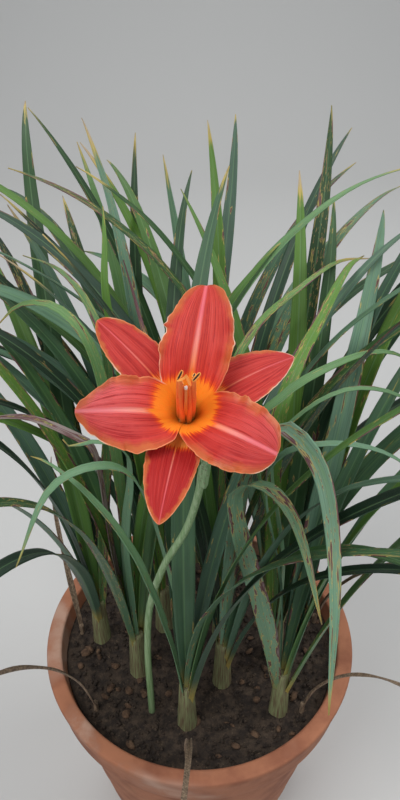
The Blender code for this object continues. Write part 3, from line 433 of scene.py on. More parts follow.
# leaf finish: parallel ribs, a pale midrib groove, green set by the leaf's own tone and waxy bloom,
# then dieback: purple-brown patches and margins with a yellow border, specks and a dried tip
leafLook = dict(
    dark=(0.008, 0.024, 0.012),
    mid=(0.034, 0.092, 0.026),
    bright=(0.120, 0.250, 0.036),
    blue=(0.185, 0.335, 0.230),
    rib=(0.150, 0.270, 0.120),
    yellow=(0.480, 0.370, 0.100),
    brown=(0.095, 0.036, 0.028),
    purple=(0.150, 0.070, 0.085),
    straw=(0.420, 0.320, 0.200),
    grey=(0.270, 0.235, 0.210),
)


def makeLeafFinish(name):
    look = leafLook
    f = Finish(name)
    across, along, tone = f.value("across"), f.value("along"), f.value("tone")
    wither, tip, seed = f.value("wither"), f.value("tip"), f.value("seed")
    bloom, side = f.value("bloom"), f.value("side")
    lines = f.streaks(across, 15.0, along, 2.5, seed, detail=3.0, rough=0.65)
    broad = f.streaks(across, 1.4, along, 9.0, seed, detail=2.0)
    blotch = f.streaks(across, 1.9, along, 20.0, seed, detail=2.5, rough=0.55, twist=0.3)
    specks = f.streaks(across, 6.0, along, 95.0, seed, detail=1.0)
    grain = f.noise(f.place(), 1200.0, 1.0)
    green = f.mix(f.step(0.0, 0.50, tone), look["dark"], look["mid"])
    green = f.mix(f.step(0.45, 1.0, tone), green, look["bright"])
    waxy = f.times(bloom, f.plus(0.50, f.times(broad, 0.8)), clamp=True)
    green = f.mix(waxy, green, look["blue"])
    green = f.mix(f.times(f.step(0.45, 0.68, lines), 0.40), green, look["dark"])
    lively = f.times(f.step(0.52, 0.72, broad), f.times(tone, 0.45))
    green = f.mix(lively, green, look["bright"])
    ribShare = f.step(0.12, 0.03, f.math("ABSOLUTE", across))
    green = f.mix(f.times(ribShare, 0.45), green, look["rib"])
    green = f.mix(f.times(side, 0.25), green, look["blue"])
    # dieback: how far blotch, raised towards the margins, passes a limit that falls with wither
    margin = f.times(f.step(0.45, 1.0, f.math("ABSOLUTE", across)),
                     f.times(f.step(0.42, 0.60, broad), 0.17))
    dead = f.plus(blotch, f.plus(margin, f.times(wither, 0.20)))
    border = f.step(0.715, 0.755, dead)
    inner = f.step(0.760, 0.780, dead)
    speckled = f.step(0.20, 0.7, wither)
    speck = f.times(f.step(0.69, 0.72, specks), speckled)
    halo = f.times(f.step(0.63, 0.69, specks), speckled)
    colour = f.mix(f.times(f.math("MAXIMUM", border, halo), 0.75), green, look["yellow"])
    brown = f.mix(f.step(0.42, 0.60, lines), look["purple"], look["brown"])
    brown = f.mix(f.times(f.step(0.82, 0.98, dead), 0.8), brown, look["grey"])
    colour = f.mix(f.math("MAXIMUM", inner, speck), colour, brown)
    ending = f.plus(along, f.swing(blotch, 0.16))
    dryLimit = f.minus(1.03, tip)
    dryStart = f.minus(dryLimit, 0.045)
    colour = f.mix(f.step(dryStart, dryLimit, ending), colour, look["yellow"])
    dryHue = f.mix(f.step(0.12, 0.18, tip), look["straw"], brown)
    colour = f.mix(f.step(dryLimit, f.plus(dryLimit, 0.03), ending), colour, dryHue)
    colour = f.mix(f.step(0.12, 0.02, along), colour, look["yellow"])
    f.bump(f.plus(lines, f.times(grain, 0.1)), 0.6, 0.0004)
    rough = f.plus(0.36, f.times(f.math("MAXIMUM", inner, grain), 0.25))
    return f.done(colour, rough, Specular_IOR_Level=0.32, Subsurface_Weight=0.05,
                  Subsurface_Scale=0.002)


# two hues mixed by streaks along a stem, a stalk or a blade; optional dark flecks
def makeStreakFinish(name, light, dark, rough, stretch=(9.0, 3.0), flecks=0.0, fleckHue=(0, 0, 0)):
    f = Finish(name)
    along, seed = f.value("along"), f.value("seed")
    mapping = f.node("ShaderNodeMapping")
    f.tree.links.new(f.place(), mapping.inputs["Vector"])
    mapping.inputs["Scale"].default_value = (stretch[0] * 100, stretch[0] * 100, stretch[1] * 10)
    streak = f.noise(mapping.outputs[0], detail=3.0)
    colour = f.mix(f.step(0.30, 0.70, streak), light, dark)
    if flecks:
        fleck = f.noise(f.place(), 700.0, 2.0)
        colour = f.mix(f.times(f.step(0.60, 0.68, fleck), flecks), colour, fleckHue)
    colour = f.mix(f.times(f.step(0.35, 0.0, f.plus(along, seed)), 0.25), colour, dark)
    f.bump(streak, 0.35, 0.0004)
    return f.done(colour, rough)


# anther: split open and dark inside, the two rims of the slit carry what pollen is left
def makeAntherFinish():
    f = Finish("anther")
    grain = f.noise(f.place(), 2600.0, 2.0)
    rim, pollen = f.value("rim"), f.value("pollen")
    dark = f.mix(f.step(0.45, 0.75, grain), (0.012, 0.006, 0.005), (0.070, 0.022, 0.012))
    yellow = f.mix(f.step(0.35, 0.65, grain), (0.930, 0.430, 0.120), (0.900, 0.280, 0.030))
    share = f.plus(f.times(f.math("MAXIMUM", rim, pollen), 0.7), f.times(grain, 0.3))
    f.bump(grain, 0.8, 0.0002)
    return f.done(f.mix(f.step(0.42, 0.62, share), dark, yellow), 0.75)


def makeFilamentFinish():
    f = Finish("filament")
    along = f.value("along")
    grain = f.noise(f.place(), 800.0, 2.0)
    colour = f.mix(f.step(0.02, 0.30, along), (0.990, 0.320, 0.045), (0.970, 0.240, 0.075))
    colour = f.mix(f.step(0.55, 0.98, along), colour, (0.970, 0.280, 0.075))
    colour = f.mix(f.times(f.step(0.50, 0.70, grain), 0.20), colour, (0.60, 0.040, 0.015))
    return f.done(colour, 0.40, Specular_IOR_Level=0.3, Subsurface_Weight=0.2,
                  Subsurface_Scale=0.0015)


# the style pales towards its end and carries a white, papillose stigma
def makeStyleFinish():
    f = Finish("style")
    along = f.value("along")
    grain = f.noise(f.place(), 1800.0, 2.0)
    colour = f.mix(f.step(0.05, 0.60, along), (0.980, 0.340, 0.040), (0.960, 0.280, 0.060))
    colour = f.mix(f.step(0.60, 0.94, along), colour, (0.930, 0.370, 0.120))
    colour = f.mix(f.step(0.955, 0.975, along), colour, (0.950, 0.900, 0.820))
    colour = f.mix(f.times(grain, 0.25), colour, (0.500, 0.060, 0.020))
    f.bump(grain, 0.4, 0.0002)
    return f.done(colour, 0.42)


# fired clay: mottled, with pale mineral bloom low down and on the rim, and fine pits
clayLook = dict(
    base=(0.420, 0.165, 0.085),
    dark=(0.270, 0.095, 0.050),
    pale=(0.620, 0.420, 0.320),
    moss=(0.110, 0.130, 0.045),
)


def makeClayFinish():
    look = clayLook
    f = Finish("clay")
    place = f.place()
    height = f.node("ShaderNodeSeparateXYZ")
    f.tree.links.new(place, height.inputs[0])
    z = height.outputs["Z"]
    mottle = f.noise(place, 26.0, 5.0, 0.6)
    cloud = f.noise(place, 7.0, 3.0, 0.55, 0.6)
    pits = f.noise(place, 620.0, 2.0)
    bands = f.noise(f.vector(0.0, 0.0, f.times(z, 300.0)), 1.0, 2.0)
    colour = f.mix(f.step(0.35, 0.70, mottle), look["base"], look["dark"])
    bloomShare = f.times(f.step(0.50, 0.66, cloud), f.step(0.40, 0.62, mottle))
    colour = f.mix(f.times(bloomShare, 0.75), colour, look["pale"])
    lowBloom = f.times(f.step(0.075, 0.0, z), f.step(0.35, 0.62, cloud))
    colour = f.mix(f.times(lowBloom, 0.6), colour, look["pale"])
    mossShare = f.times(f.step(0.56, 0.68, f.noise(place, 17.0, 4.0, 0.6)),
                        f.step(0.40, 0.20, cloud))
    colour = f.mix(f.times(mossShare, 0.6), colour, look["moss"])
    heightMap = f.plus(f.times(mottle, 0.5), f.times(pits, 0.5))
    f.bump(f.plus(heightMap, f.times(bands, 0.6)), 0.45, 0.0006)
    return f.done(colour, f.plus(0.72, f.times(mottle, 0.2)))


def makeEarthFinish(name, dark, light):
    f = Finish(name)
    place = f.place()
    lump = f.noise(place, 130.0, 4.0, 0.65)
    fleck = f.noise(place, 520.0, 2.0)
    colour = f.mix(f.step(0.35, 0.72, lump), dark, light)
    colour = f.mix(f.times(f.step(0.68, 0.74, fleck), 0.6), colour, (0.16, 0.11, 0.07))
    f.bump(f.plus(lump, f.times(fleck, 0.5)), 0.9, 0.0014)
    return f.done(colour, 0.95)


petalFinish = makePetalFinish("petal", 2.9, 0.90, 6.2, 16.2, "orange", 0.74)
# sepals: a salmon eye, their own salmon-orange throat lightened as painted light where it lies in
# shade between the petals
sepalFinish = makePetalFinish("sepal", 1.0, 0.42, 2.4, 22.5, "salmonAndPaintedLight", 0.0)
leafFinish = makeLeafFinish("leaf")
stemFinish = makeStreakFinish("stem", (0.330, 0.460, 0.250), (0.170, 0.300, 0.120), 0.42)
bractFinish = makeStreakFinish("bract", (0.300, 0.430, 0.230), (0.150, 0.270, 0.110), 0.5,
                               flecks=0.7, fleckHue=(0.16, 0.08, 0.05))
budFinish = makeStreakFinish("bud", (0.560, 0.150, 0.060), (0.300, 0.200, 0.060), 0.5)
tubeFinish = makeStreakFinish("tube", (0.800, 0.280, 0.040), (0.420, 0.250, 0.055), 0.5)
dryFinish = makeStreakFinish("dryLeaf", (0.300, 0.215, 0.140), (0.115, 0.075, 0.050), 0.85,
                             (7.0, 7.0), 0.6, (0.05, 0.03, 0.02))
sheathFinish = makeStreakFinish("sheath", (0.260, 0.300, 0.140), (0.150, 0.100, 0.055), 0.7)
antherFinish = makeAntherFinish()
filamentFinish = makeFilamentFinish()
styleFinish = makeStyleFinish()
clayFinish = makeClayFinish()
earthFinish = makeEarthFinish("earth", (0.016, 0.010, 0.007), (0.060, 0.040, 0.026))
barkFinish = makeEarthFinish("bark", (0.060, 0.032, 0.018), (0.150, 0.088, 0.050))
print("finishes made")


# flower

def flowerAxes():
    rise = math.radians(flowerSet["rise"])
    along = np.array([0.0, -math.cos(rise), math.sin(rise)])
    up = np.array([0.0, math.sin(rise), math.cos(rise)])
    return np.array([1.0, 0.0, 0.0]), up, along


def flowerPlace(places):
    right, up, along = flowerAxes()
    places = np.atleast_2d(places)
    return (np.array(flowerSet["mouth"]) + places[:, :1] * right + places[:, 1:2] * up
            + places[:, 2:3] * along)


# each blade: turn clockwise from the top, length, opening angles, how soon it opens, tip recurve,
# sideways sweep, half-widths of its two margins, outline powers, cross bend, twist, reach of the
# throat's roundness, margin waves, blush and shade (each a share at the rib and what a margin adds;
# the blush is a pink tint with painted light on the side that catches the light, the shade is
# painted shade on blades and halves that lie in shade), the depth of the cleft in its tip; nicks
# are (place along, side, depth, width) of its outline
tepalSet = {
    "petal_upper": dict(turn=10, length=0.0700, base=15, end=77, soon=0.35, recurve=10, sweep=0,
                        plus=0.0192, minus=0.0177, rise=0.58, fall=0.48, bend=1, twist=20,
                        throat=0.50, ruffle=0.0012, waves=4.3, phase=0.4,
                        blush=(0.12, 0.0), shade=(0.0, 0.0), cleft=0.0013,
                        nicks=((0.640, -1, 0.0014, 0.012), (0.578, -1, -0.0015, 0.032),
                               (0.47, -1, 0.0006, 0.04), (0.77, -1, -0.0012, 0.04),
                               (0.567, 1, 0.0011, 0.025), (0.62, 1, -0.0006, 0.03),
                               (0.955, 0, 0.0008, 0.035))),
    "petal_right": dict(turn=130, length=0.0670, base=16, end=66, soon=0.37, recurve=2, sweep=-2.6,
                        plus=0.0190, minus=0.0185, rise=0.67, fall=0.54, bend=3, twist=-33,
                        throat=0.50, ruffle=0.0013, waves=4.8, phase=2.1,
                        blush=(0.40, -0.20), shade=(0.26, 0.24), cleft=0.0006,
                        nicks=((0.62, -1, -0.0010, 0.05), (0.90, 0, 0.0009, 0.07),
                               (0.93, -1, 0.0012, 0.045))),
    "petal_left": dict(turn=254, length=0.0668, base=14, end=63, soon=0.37, recurve=0, sweep=1.2,
                       plus=0.0168, minus=0.0214, rise=0.77, fall=0.80, bend=3, twist=43,
                       throat=0.47, ruffle=0.0013, waves=4.6, phase=4.0,
                       blush=(0.70, 0.45), shade=(0.14, -0.28), cleft=0.0004,
                       nicks=((0.965, 1, 0.0014, 0.030), (0.970, -1, 0.0010, 0.026),
                              (0.56, -1, 0.0009, 0.03), (0.68, 1, 0.0011, 0.10),
                              (0.89, -1, 0.0010, 0.030))),
    "sepal_upper_right": dict(turn=60, length=0.0642, base=23, end=93, soon=0.23, recurve=16,
                              sweep=2.9, plus=0.0139, minus=0.0129, rise=0.59, fall=0.74,
                              bend=-4, twist=-11, throat=0.40, ruffle=0.0004, waves=3.0, phase=0,
                              blush=(0.25, 0.0), shade=(0.30, 0.0), cleft=0, nicks=()),
    "sepal_lower": dict(turn=192, length=0.0678, base=23, end=75, soon=0.26, recurve=5.5,
                        sweep=-3.3, plus=0.0128, minus=0.0120, rise=0.62, fall=0.68,
                        bend=-4, twist=-5, throat=0.40, ruffle=0.0004, waves=3.3, phase=1.2,
                        blush=(0.05, 0.0), shade=(0.78, 0.0), cleft=0, nicks=()),
    "sepal_upper_left": dict(turn=317, length=0.0672, base=24, end=84, soon=0.24, recurve=13.5,
                             sweep=-2.5, plus=0.0124, minus=0.0118, rise=0.64, fall=0.58,
                             bend=-4, twist=17, throat=0.40, ruffle=0.0004, waves=3.6, phase=2.6,
                             blush=(0.15, 0.0), shade=(0.36, 0.0), cleft=0, nicks=()),
}
# fine relief of a blade in metres, each pair for a sepal and a petal: frill of the outline and of
# the margin's height, and the rib's groove; the pleats' rise, and their waves in radians a metre;
# the cleft's width in millimetres
tepalGrid = dict(rows=110, columns=61, thick=0.0006, least=0.0004, frill=(0.00012, 0.00022),
                 lift=(0.0002, 0.00035), groove=(0.0005, 0.0009), grooveWidth=0.0011,
                 pleat=0.00012, pleats=1900, cleftWidth=1.3)


# A blade of the flower. Its midline leaves the tube at one angle and opens to another; across it a
# line bent round the axis in the throat flattens outwards. A margin wave grows with the cube of the
# distance from the rib, the rib lies in a groove, and shallow pleats run along the blade. A lane is
# a share of the width before nicks and frills, so that the veins don't follow them.
def makeTepal(name, spec, number):
    inner = name.startswith("petal")
    right, up, along = flowerAxes()
    m = tepalGrid
    rows, columns = m["rows"], m["columns"]
    t = np.linspace(0.0, 1.0, rows)
    turn = math.radians(spec["turn"])
    out = math.cos(turn) * up + math.sin(turn) * right
    base, end, recurve = (math.radians(spec[k]) for k in ("base", "end", "recurve"))
    opened = (1 - np.exp(-t / spec["soon"])) / (1 - math.exp(-1 / spec["soon"]))
    angle = base + (end - base) * opened + recurve * t**3
    drift = math.radians(spec["sweep"]) * t
    course = (np.outer(np.sin(angle) * np.cos(drift), out)
              + np.outer(np.cos(angle) * np.cos(drift), along)
              + np.outer(np.sin(drift), np.cross(out, along)))
    ring = flowerSet["petalRing"] if inner else flowerSet["sepalRing"]
    start = out * ring - along * (0.0 if inner else flowerSet["sepalDrop"])
    middle = walk(start, course, spec["length"])
    face = np.outer(-np.cos(angle), out) + np.outer(np.sin(angle), along)
    face = unit(face - np.sum(face * course, axis=1)[:, None] * course)
    across = np.cross(course, face)
    twist = math.radians(spec["twist"]) * t**2
    across, face = (np.cos(twist)[:, None] * across + np.sin(twist)[:, None] * face,
                    np.cos(twist)[:, None] * face - np.sin(twist)[:, None] * across)
    peak = spec["rise"] / (spec["rise"] + spec["fall"])
    most = peak**spec["rise"] * (1 - peak)**spec["fall"]
    swell = t**spec["rise"] * (1 - t)**spec["fall"] / most
    radius = np.maximum(middle @ out, ring)
    fade = np.exp(-(t / spec["throat"])**2)
    curl = fade / radius + spec["bend"] * t
    curl = np.where(np.abs(curl) < 1e-6, 1e-6, curl)
    hug = flowerSet["petalHug"] if inner else flowerSet["sepalHug"]
    widest = radius * (hug * fade + 1.7 * (1 - fade))
    v = np.sin(np.linspace(-1, 1, columns) * math.pi / 2)
    v = np.sign(v) * np.abs(v)**0.9
    grid = np.zeros((rows, columns, 3))
    halves, lanes = np.zeros((rows, columns)), np.zeros((rows, columns))
    rng = np.random.default_rng(40 + number)
    fineWave = rng.uniform(0, tau, 6)
    for column, place in enumerate(v):
        side = 1.0 if place > 0 else -1.0
        width = spec["plus"] if side > 0 else spec["minus"]
        plain = np.minimum(ring * (1 - t)**3 + width * swell, widest)
        plain = np.maximum(plain, m["least"])
        half = plain
        for at, where, depth, width in spec["nicks"]:
            if where in (side, 0):
                half = half + depth * np.exp(-((t - at) / width)**2)
        frill = sum(np.sin(tau * (9 + 5.3 * k) * t + fineWave[k] * (1.0 if side > 0 else 1.6))
                    / (1 + k) for k in range(4))
        outline = smoothstep(0.25, 0.5, t) * (1 - t**6)
        half = np.maximum(half + m["frill"][inner] * frill * outline, m["least"])
        halves[:, column] = half
        lanes[:, column] = half * place / plain
        reach = half * place
        wave = np.sin(tau * spec["waves"] * t + spec["phase"] * (1.0 if side > 0 else 1.7))
        edge = abs(place)
        lift = (1 - np.cos(curl * reach)) / curl
        lift += spec["ruffle"] * edge**3 * wave * np.clip((t - 0.2) / 0.3, 0, 1) * (1 - t**4)
        lift += m["lift"][inner] * edge**8 * frill * outline
        groove = m["groove"][inner] * np.exp(-(reach / m["grooveWidth"])**2)
        lift -= groove * smoothstep(0.12, 0.35, t) * (1 - t**3)
        pleat = np.sin(reach * m["pleats"] * (1.0 + 0.25 * side)) * m["pleat"]
        lift += pleat * smoothstep(0.3, 0.6, t) * (1 - t**4) * min(edge * 3, 1)
        grid[:, column] = (middle + across * (np.sin(curl * reach) / curl)[:, None]
                           + face * lift[:, None])
    rib = np.abs(v)[None, :] * halves * 1000
    notch = spec["cleft"] * np.exp(-(rib / m["cleftWidth"])**2) * smoothstep(0.90, 1.0, t)[:, None]
    grid = grid - course[:, None] * notch[..., None]
    radial = np.linalg.norm(grid - (grid @ along)[..., None] * along, axis=2) * 1000
    edge = (1 - np.abs(v))[None, :] * halves * 1000
    # blush and shade are set for each blade and sloped across it: painted light on the lit half of
    # a petal, painted shade on its shaded half
    blush, shade = (np.clip(spec[k][0] + spec[k][1] * v, 0, 1) for k in ("blush", "shade"))
    thick = m["thick"] * (0.55 + 0.9 * np.exp(-(rib / 1.6)**2)) * (0.6 + 0.4 * (1 - t))[:, None]
    gather = Gather()
    addSheet(gather, np.array(flowerSet["mouth"]) + grid, thick,
             lane=np.clip(lanes, -1.6, 1.6), along=t[:, None],
             radial=radial, edge=edge, rib=rib, seed=number * 3.7, blush=blush, shade=shade)
    if inner:
        gather.piece(name + "_blade", petalFinish, "petal", name)
    else:
        gather.piece(name + "_blade", sepalFinish, "sepal", name)


for number, (name, spec) in enumerate(tepalSet.items()):
    makeTepal(name, spec, number)
print("tepals made")

# the tube: radii along the flower's axis from its mouth to the stalk, in metres; the ovary swells
tubeSet = dict(
    profile=((0.0, 0.0), (0.0044, -0.0003), (0.0052, -0.0009), (0.0060, -0.0016), (0.0066, -0.0020),
             (0.0056, -0.0060), (0.0044, -0.0105), (0.0036, -0.0150), (0.0031, -0.0210),
             (0.0030, -0.0265), (0.0035, -0.0310), (0.0036, -0.0345), (0.0030, -0.0375),
             (0.0024, -0.0388)),
    ridges=3, ridgeDepth=0.10, sides=48,
)


# a turned profile whose radius is pinched by three shallow grooves that fade towards the mouth
def makeFlowerTube():
    rings = smoothRoute([(r, 0.0, z) for r, z in tubeSet["profile"][1:]], 60)
    turn = np.linspace(0, tau, tubeSet["sides"], endpoint=False)
    depth = tubeSet["ridgeDepth"] * smoothstep(-0.004, -0.02, rings[:, 2])
    pinch = 1 - depth[:, None] * (0.5 + 0.5 * np.cos(tubeSet["ridges"] * 2 * turn[None, :]))
    local = ringPlaces(rings[:, :1] * pinch, turn, rings[:, 2:])
    ends = flowerPlace([(0, 0, rings[0, 2]), (0, 0, rings[-1, 2])])
    gather = Gather()
    along = np.concatenate([np.repeat(np.linspace(0, 1, len(rings)), len(turn)), [0, 1]])
    addTurned(gather, flowerPlace(local.reshape(-1, 3)).reshape(local.shape), *ends, along=along)
    gather.piece("flower_tube_skin", tubeFinish, "throat", "flower_tube")


makeFlowerTube()

# stamens in the flower's own frame (right, up, along): degrees round the throat, the tip, the way
# the anther points, how much pollen it shows, how far it curls and its girth
stamenSet = dict(
    ring=0.0033, filament=0.00130, gap=0.0003, bow=0.10, sag=(0.0, -0.0012, 0.002),
    pistilSag=(0.0, -0.0034, 0.002),
    pistilTip=(0.0007, -0.0004, 0.0400), length=0.0056, radius=0.0010, hold=0.0008,
)
stamens = (
    (180, (-0.0028, 0.0016, 0.0450), (0.42, 0.62, 0.60), 0.35, 0.0004, 1.0),
    (0, (0.0046, 0.0010, 0.0450), (0.62, 0.50, 0.52), 0.35, 0.0004, 1.0),
    (60, (0.0043, 0.0037, 0.0422), (0.10, 0.55, -0.60), 0.20, 0.0003, 0.9),
    (240, (-0.0019, -0.0003, 0.0470), (0.75, 0.35, 0.45), 0.90, 0.0018, 0.62),
    (120, (-0.0011, 0.0010, 0.0400), (-0.20, 0.60, -0.45), 0.30, 0.0004, 0.9),
    (300, (0.0026, 0.0014, 0.0390), (-0.30, 0.60, 0.30), 0.85, 0.0006, 0.72),
)


# a filament is a tapering tube; an anther is a dark body between two rims, each a tube that swells
# and closes at both ends
def makeStamens():
    right, up, along = flowerAxes()
    m = stamenSet
    s = np.linspace(0, 1, 44)
    for number, (turn, tip, way, pollen, curl, girth) in enumerate(stamens, 1):
        turn = math.radians(turn)
        base = np.array([m["ring"] * math.cos(turn), m["ring"] * math.sin(turn), m["gap"]])
        top = np.array(tip)
        waist = (base + top) / 2 + np.array(m["sag"]) + m["bow"] * top * (1, 1, 0)
        path = flowerPlace(smoothRoute([base, waist, top], 44))
        gather = Gather()
        thickness = m["filament"] * (1.16 - 0.38 * s) * (1 - 0.45 * smoothstep(0.95, 1.0, s))
        addTube(gather, path, thickness, 14,
                lobes=lambda a, b: 1 + 0.05 * np.cos(2 * b + 5 * a))
        name = "stamen_%d" % number
        gather.piece(name + "_filament", filamentFinish, "stamen", name)
        lean = unit(right * way[0] + up * way[1] + along * way[2])
        aside = unit(np.cross(lean, along))
        bulge = unit(np.cross(aside, lean))
        middle = path[-1] + lean * (m["length"] / 2 - m["hold"])
        head = Gather()
        u = np.linspace(-1, 1, 28)
        body = middle + np.outer(u * m["length"] / 2, lean) + np.outer(u**2 * curl, bulge)
        full = np.sqrt(np.maximum(1 - np.abs(u)**3.0, 0.015))
        radius = m["radius"] * girth
        addTube(head, body, radius * 0.62 * full, 12, pollen=pollen)
        for lobe in (-1, 1):
            rim = body + aside * (lobe * radius * 0.70 * full)[:, None] + bulge * 0.00015
            addTube(head, rim, radius * 0.36 * (0.4 + 0.6 * full), 10, rim=1.0, pollen=pollen)
        head.piece(name + "_anther", antherFinish, "stamen")
    gather = Gather()
    tip = np.array(m["pistilTip"])
    base = np.array((0.0, 0.0, m["gap"]))
    waist = (base + tip) / 2 + np.array(m["pistilSag"])
    path = flowerPlace(smoothRoute([base, waist, tip], 44))
    stigma = 0.00024 * smoothstep(0.955, 0.985, s) * (1 - 0.5 * smoothstep(0.99, 1.0, s))
    addTube(gather, path, 0.00125 - 0.00050 * s + stigma, 14,
            lobes=lambda a, b: 1 + 0.10 * np.cos(3 * b) * a)
    gather.piece("pistil_style", styleFinish, "pistil", "pistil")


makeStamens()
print("flower made")

# scape: its route up from the soil, its fork, bracts (degrees round, height at the fork, length),
# the flower's stalk (its ends along the flower's axis) and the buds (way, length, radius)
scapeSet = dict(
    foot=(-0.045, -0.075), radius=0.0031, depth=0.030, fork=(0.003, -0.120, 0.600),
    route=((-0.0450, -0.0750, 0.330), (-0.0400, -0.0800, 0.400), (-0.0270, -0.0890, 0.460),
           (-0.0100, -0.0990, 0.510), (-0.0010, -0.1090, 0.555)),
    bracts=((290, -0.026, 0.034), (98, -0.012, 0.024)), bractWidth=0.0052, bractThick=0.0005,
    stalk=(0.0022, 0.0020), stalkStart=-0.0445, stalkEnd=-0.0388,
    budStalk=0.010, budStalkRadius=0.0017,
    buds=(("bud_1", (0.55, 0.60, 0.50), 0.034, 0.0046),
          ("bud_2", (-0.62, 0.62, 0.30), 0.026, 0.0038)),
)
soilSet = dict(edge=0.232, middle=0.240, bore=0.138)


def soilHeight(x, y):
    reach = np.minimum(np.hypot(x, y) / soilSet["bore"], 1.0)
    return soilSet["middle"] + (soilSet["edge"] - soilSet["middle"]) * reach


# grid of a V-folded blade: a level line square to the midrib, rolled about it, its two halves
# folded up; the fold is rounded at the rib and the margins ease back down
def bladeGrid(centre, azimuth, roll, halfWidth, fold, columns, ease=0.0):
    course = unit(np.gradient(centre, axis=0))
    level = np.stack([-np.sin(azimuth), np.cos(azimuth), np.zeros_like(azimuth)], axis=1)
    level = unit(level - np.sum(level * course, axis=1)[:, None] * course)
    face = np.cross(course, level)
    across = np.cos(roll)[:, None] * level + np.sin(roll)[:, None] * face
    face = np.cross(course, across)
    v = np.linspace(-1, 1, columns)
    high = np.sqrt(v**2 + 0.006) - math.sqrt(0.006)
    high = high - ease * np.abs(v)**3
    flat, risen = ((halfWidth * part(fold))[:, None, None] for part in (np.cos, np.sin))
    grid = (centre[:, None] + across[:, None] * flat * v[None, :, None]
            + face[:, None] * risen * high[None, :, None])
    return grid, v, face


def makeScape():
    fork = np.array(scapeSet["fork"])
    foot = np.array([*scapeSet["foot"], soilHeight(*scapeSet["foot"]) - scapeSet["depth"]])
    straight = foot + np.array([0.0, 0.0, scapeSet["depth"] + 0.01])
    gather = Gather()
    path = np.vstack([foot, smoothRoute([straight, *scapeSet["route"], fork], 110)])
    taper = np.linspace(1.0, 0.82, len(path)) * scapeSet["radius"]
    nodes = 1 + 0.10 * np.exp(-((np.linspace(0, 1, len(path)) - 0.93) / 0.012)**2)
    addTube(gather, path, taper * nodes, 18)
    before, end = flowerPlace([(0, 0, scapeSet["stalkStart"]), (0, 0, scapeSet["stalkEnd"])])
    stalk = smoothRoute([fork - (0, 0, 0.006), fork, before, end], 30)
    addTube(gather, stalk, np.linspace(*scapeSet["stalk"], 30), 14)
    for _, way, _, _ in scapeSet["buds"]:
        short = fork + np.outer(np.linspace(-0.0025, scapeSet["budStalk"], 12), unit(np.array(way)))
        addTube(gather, short, np.full(12, scapeSet["budStalkRadius"]), 12)
    gather.piece("scape_stem", stemFinish, "stem", "scape")
    bracts = Gather()
    for way, height, length in scapeSet["bracts"]:
        way = math.radians(way)
        s = np.linspace(0.0, 1.0, 40)
        course = headings(np.radians(86 - 30 * s**2), way)
        start = fork + (0.0018 * math.cos(way), 0.0018 * math.sin(way), height)
        centre = walk(start, course, length)
        half = np.maximum(scapeSet["bractWidth"] * (0.8 + 0.8 * s) * (1 - s**2)**0.9, 0.0003)
        fold = np.radians(48 - 20 * s)
        grid = bladeGrid(centre, np.full(40, way), np.zeros(40), half, fold, 15)[0]
        addSheet(bracts, grid, scapeSet["bractThick"], along=s[:, None])
    bracts.piece("scape_bracts", bractFinish, "stem")
    # buds: a swelling tube with six shallow lobes that turn a little towards the tip
    for name, way, length, radius in scapeSet["buds"]:
        way = unit(np.array(way))
        s = np.linspace(0.0, 1.0, 40)
        swell = radius * np.maximum(np.sin(math.pi * (0.10 + 0.88 * s))**0.8, 0.12)
        swell *= smoothstep(-0.06, 0.05, s)
        start = fork + way * (scapeSet["budStalk"] + 0.0003)
        points = start + np.outer(s * length, way) + np.outer(s**2, (0.0, 0.0, 0.004))
        bud = Gather()
        addTube(bud, points, swell, 36,
                lobes=lambda a, b: 1 + 0.07 * np.cos(6 * (b + 0.5 * a)) * np.sin(math.pi * a))
        bud.piece(name + "_skin", budFinish, "sepal", name)


makeScape()
print("scape made")

# leaves: the rule that the fans in the frame were grown by; a drawn leaf is the first of its
# seeded draws whose midrib lies on its fan in the frame
leafSet = dict(
    fans=12, spread=0.112, turn=20.0, golden=137.508, planeTurn=67.0, perFan=8, seed=59, tries=990,
    azimuthSpread=34.0, length=(0.42, 0.58), rise=88.0, riseSpread=2.0, ageLean=10.0,
    bendLeast=20.0, bendMost=75.0, bendAge=50.0, power=(1.5, 2.6), drift=22.0, roll=16.0,
    offset=0.001, offsetAge=0.0045, root=0.014, rootAge=0.030, placedRoot=0.012,
    halfWidth=(0.0080, 0.0110), fineSteps=40, thick=0.0005, rows=48, columns=11,
    ease=0.25, slowRipple=0.0006, quickRipple=0.00025,
)

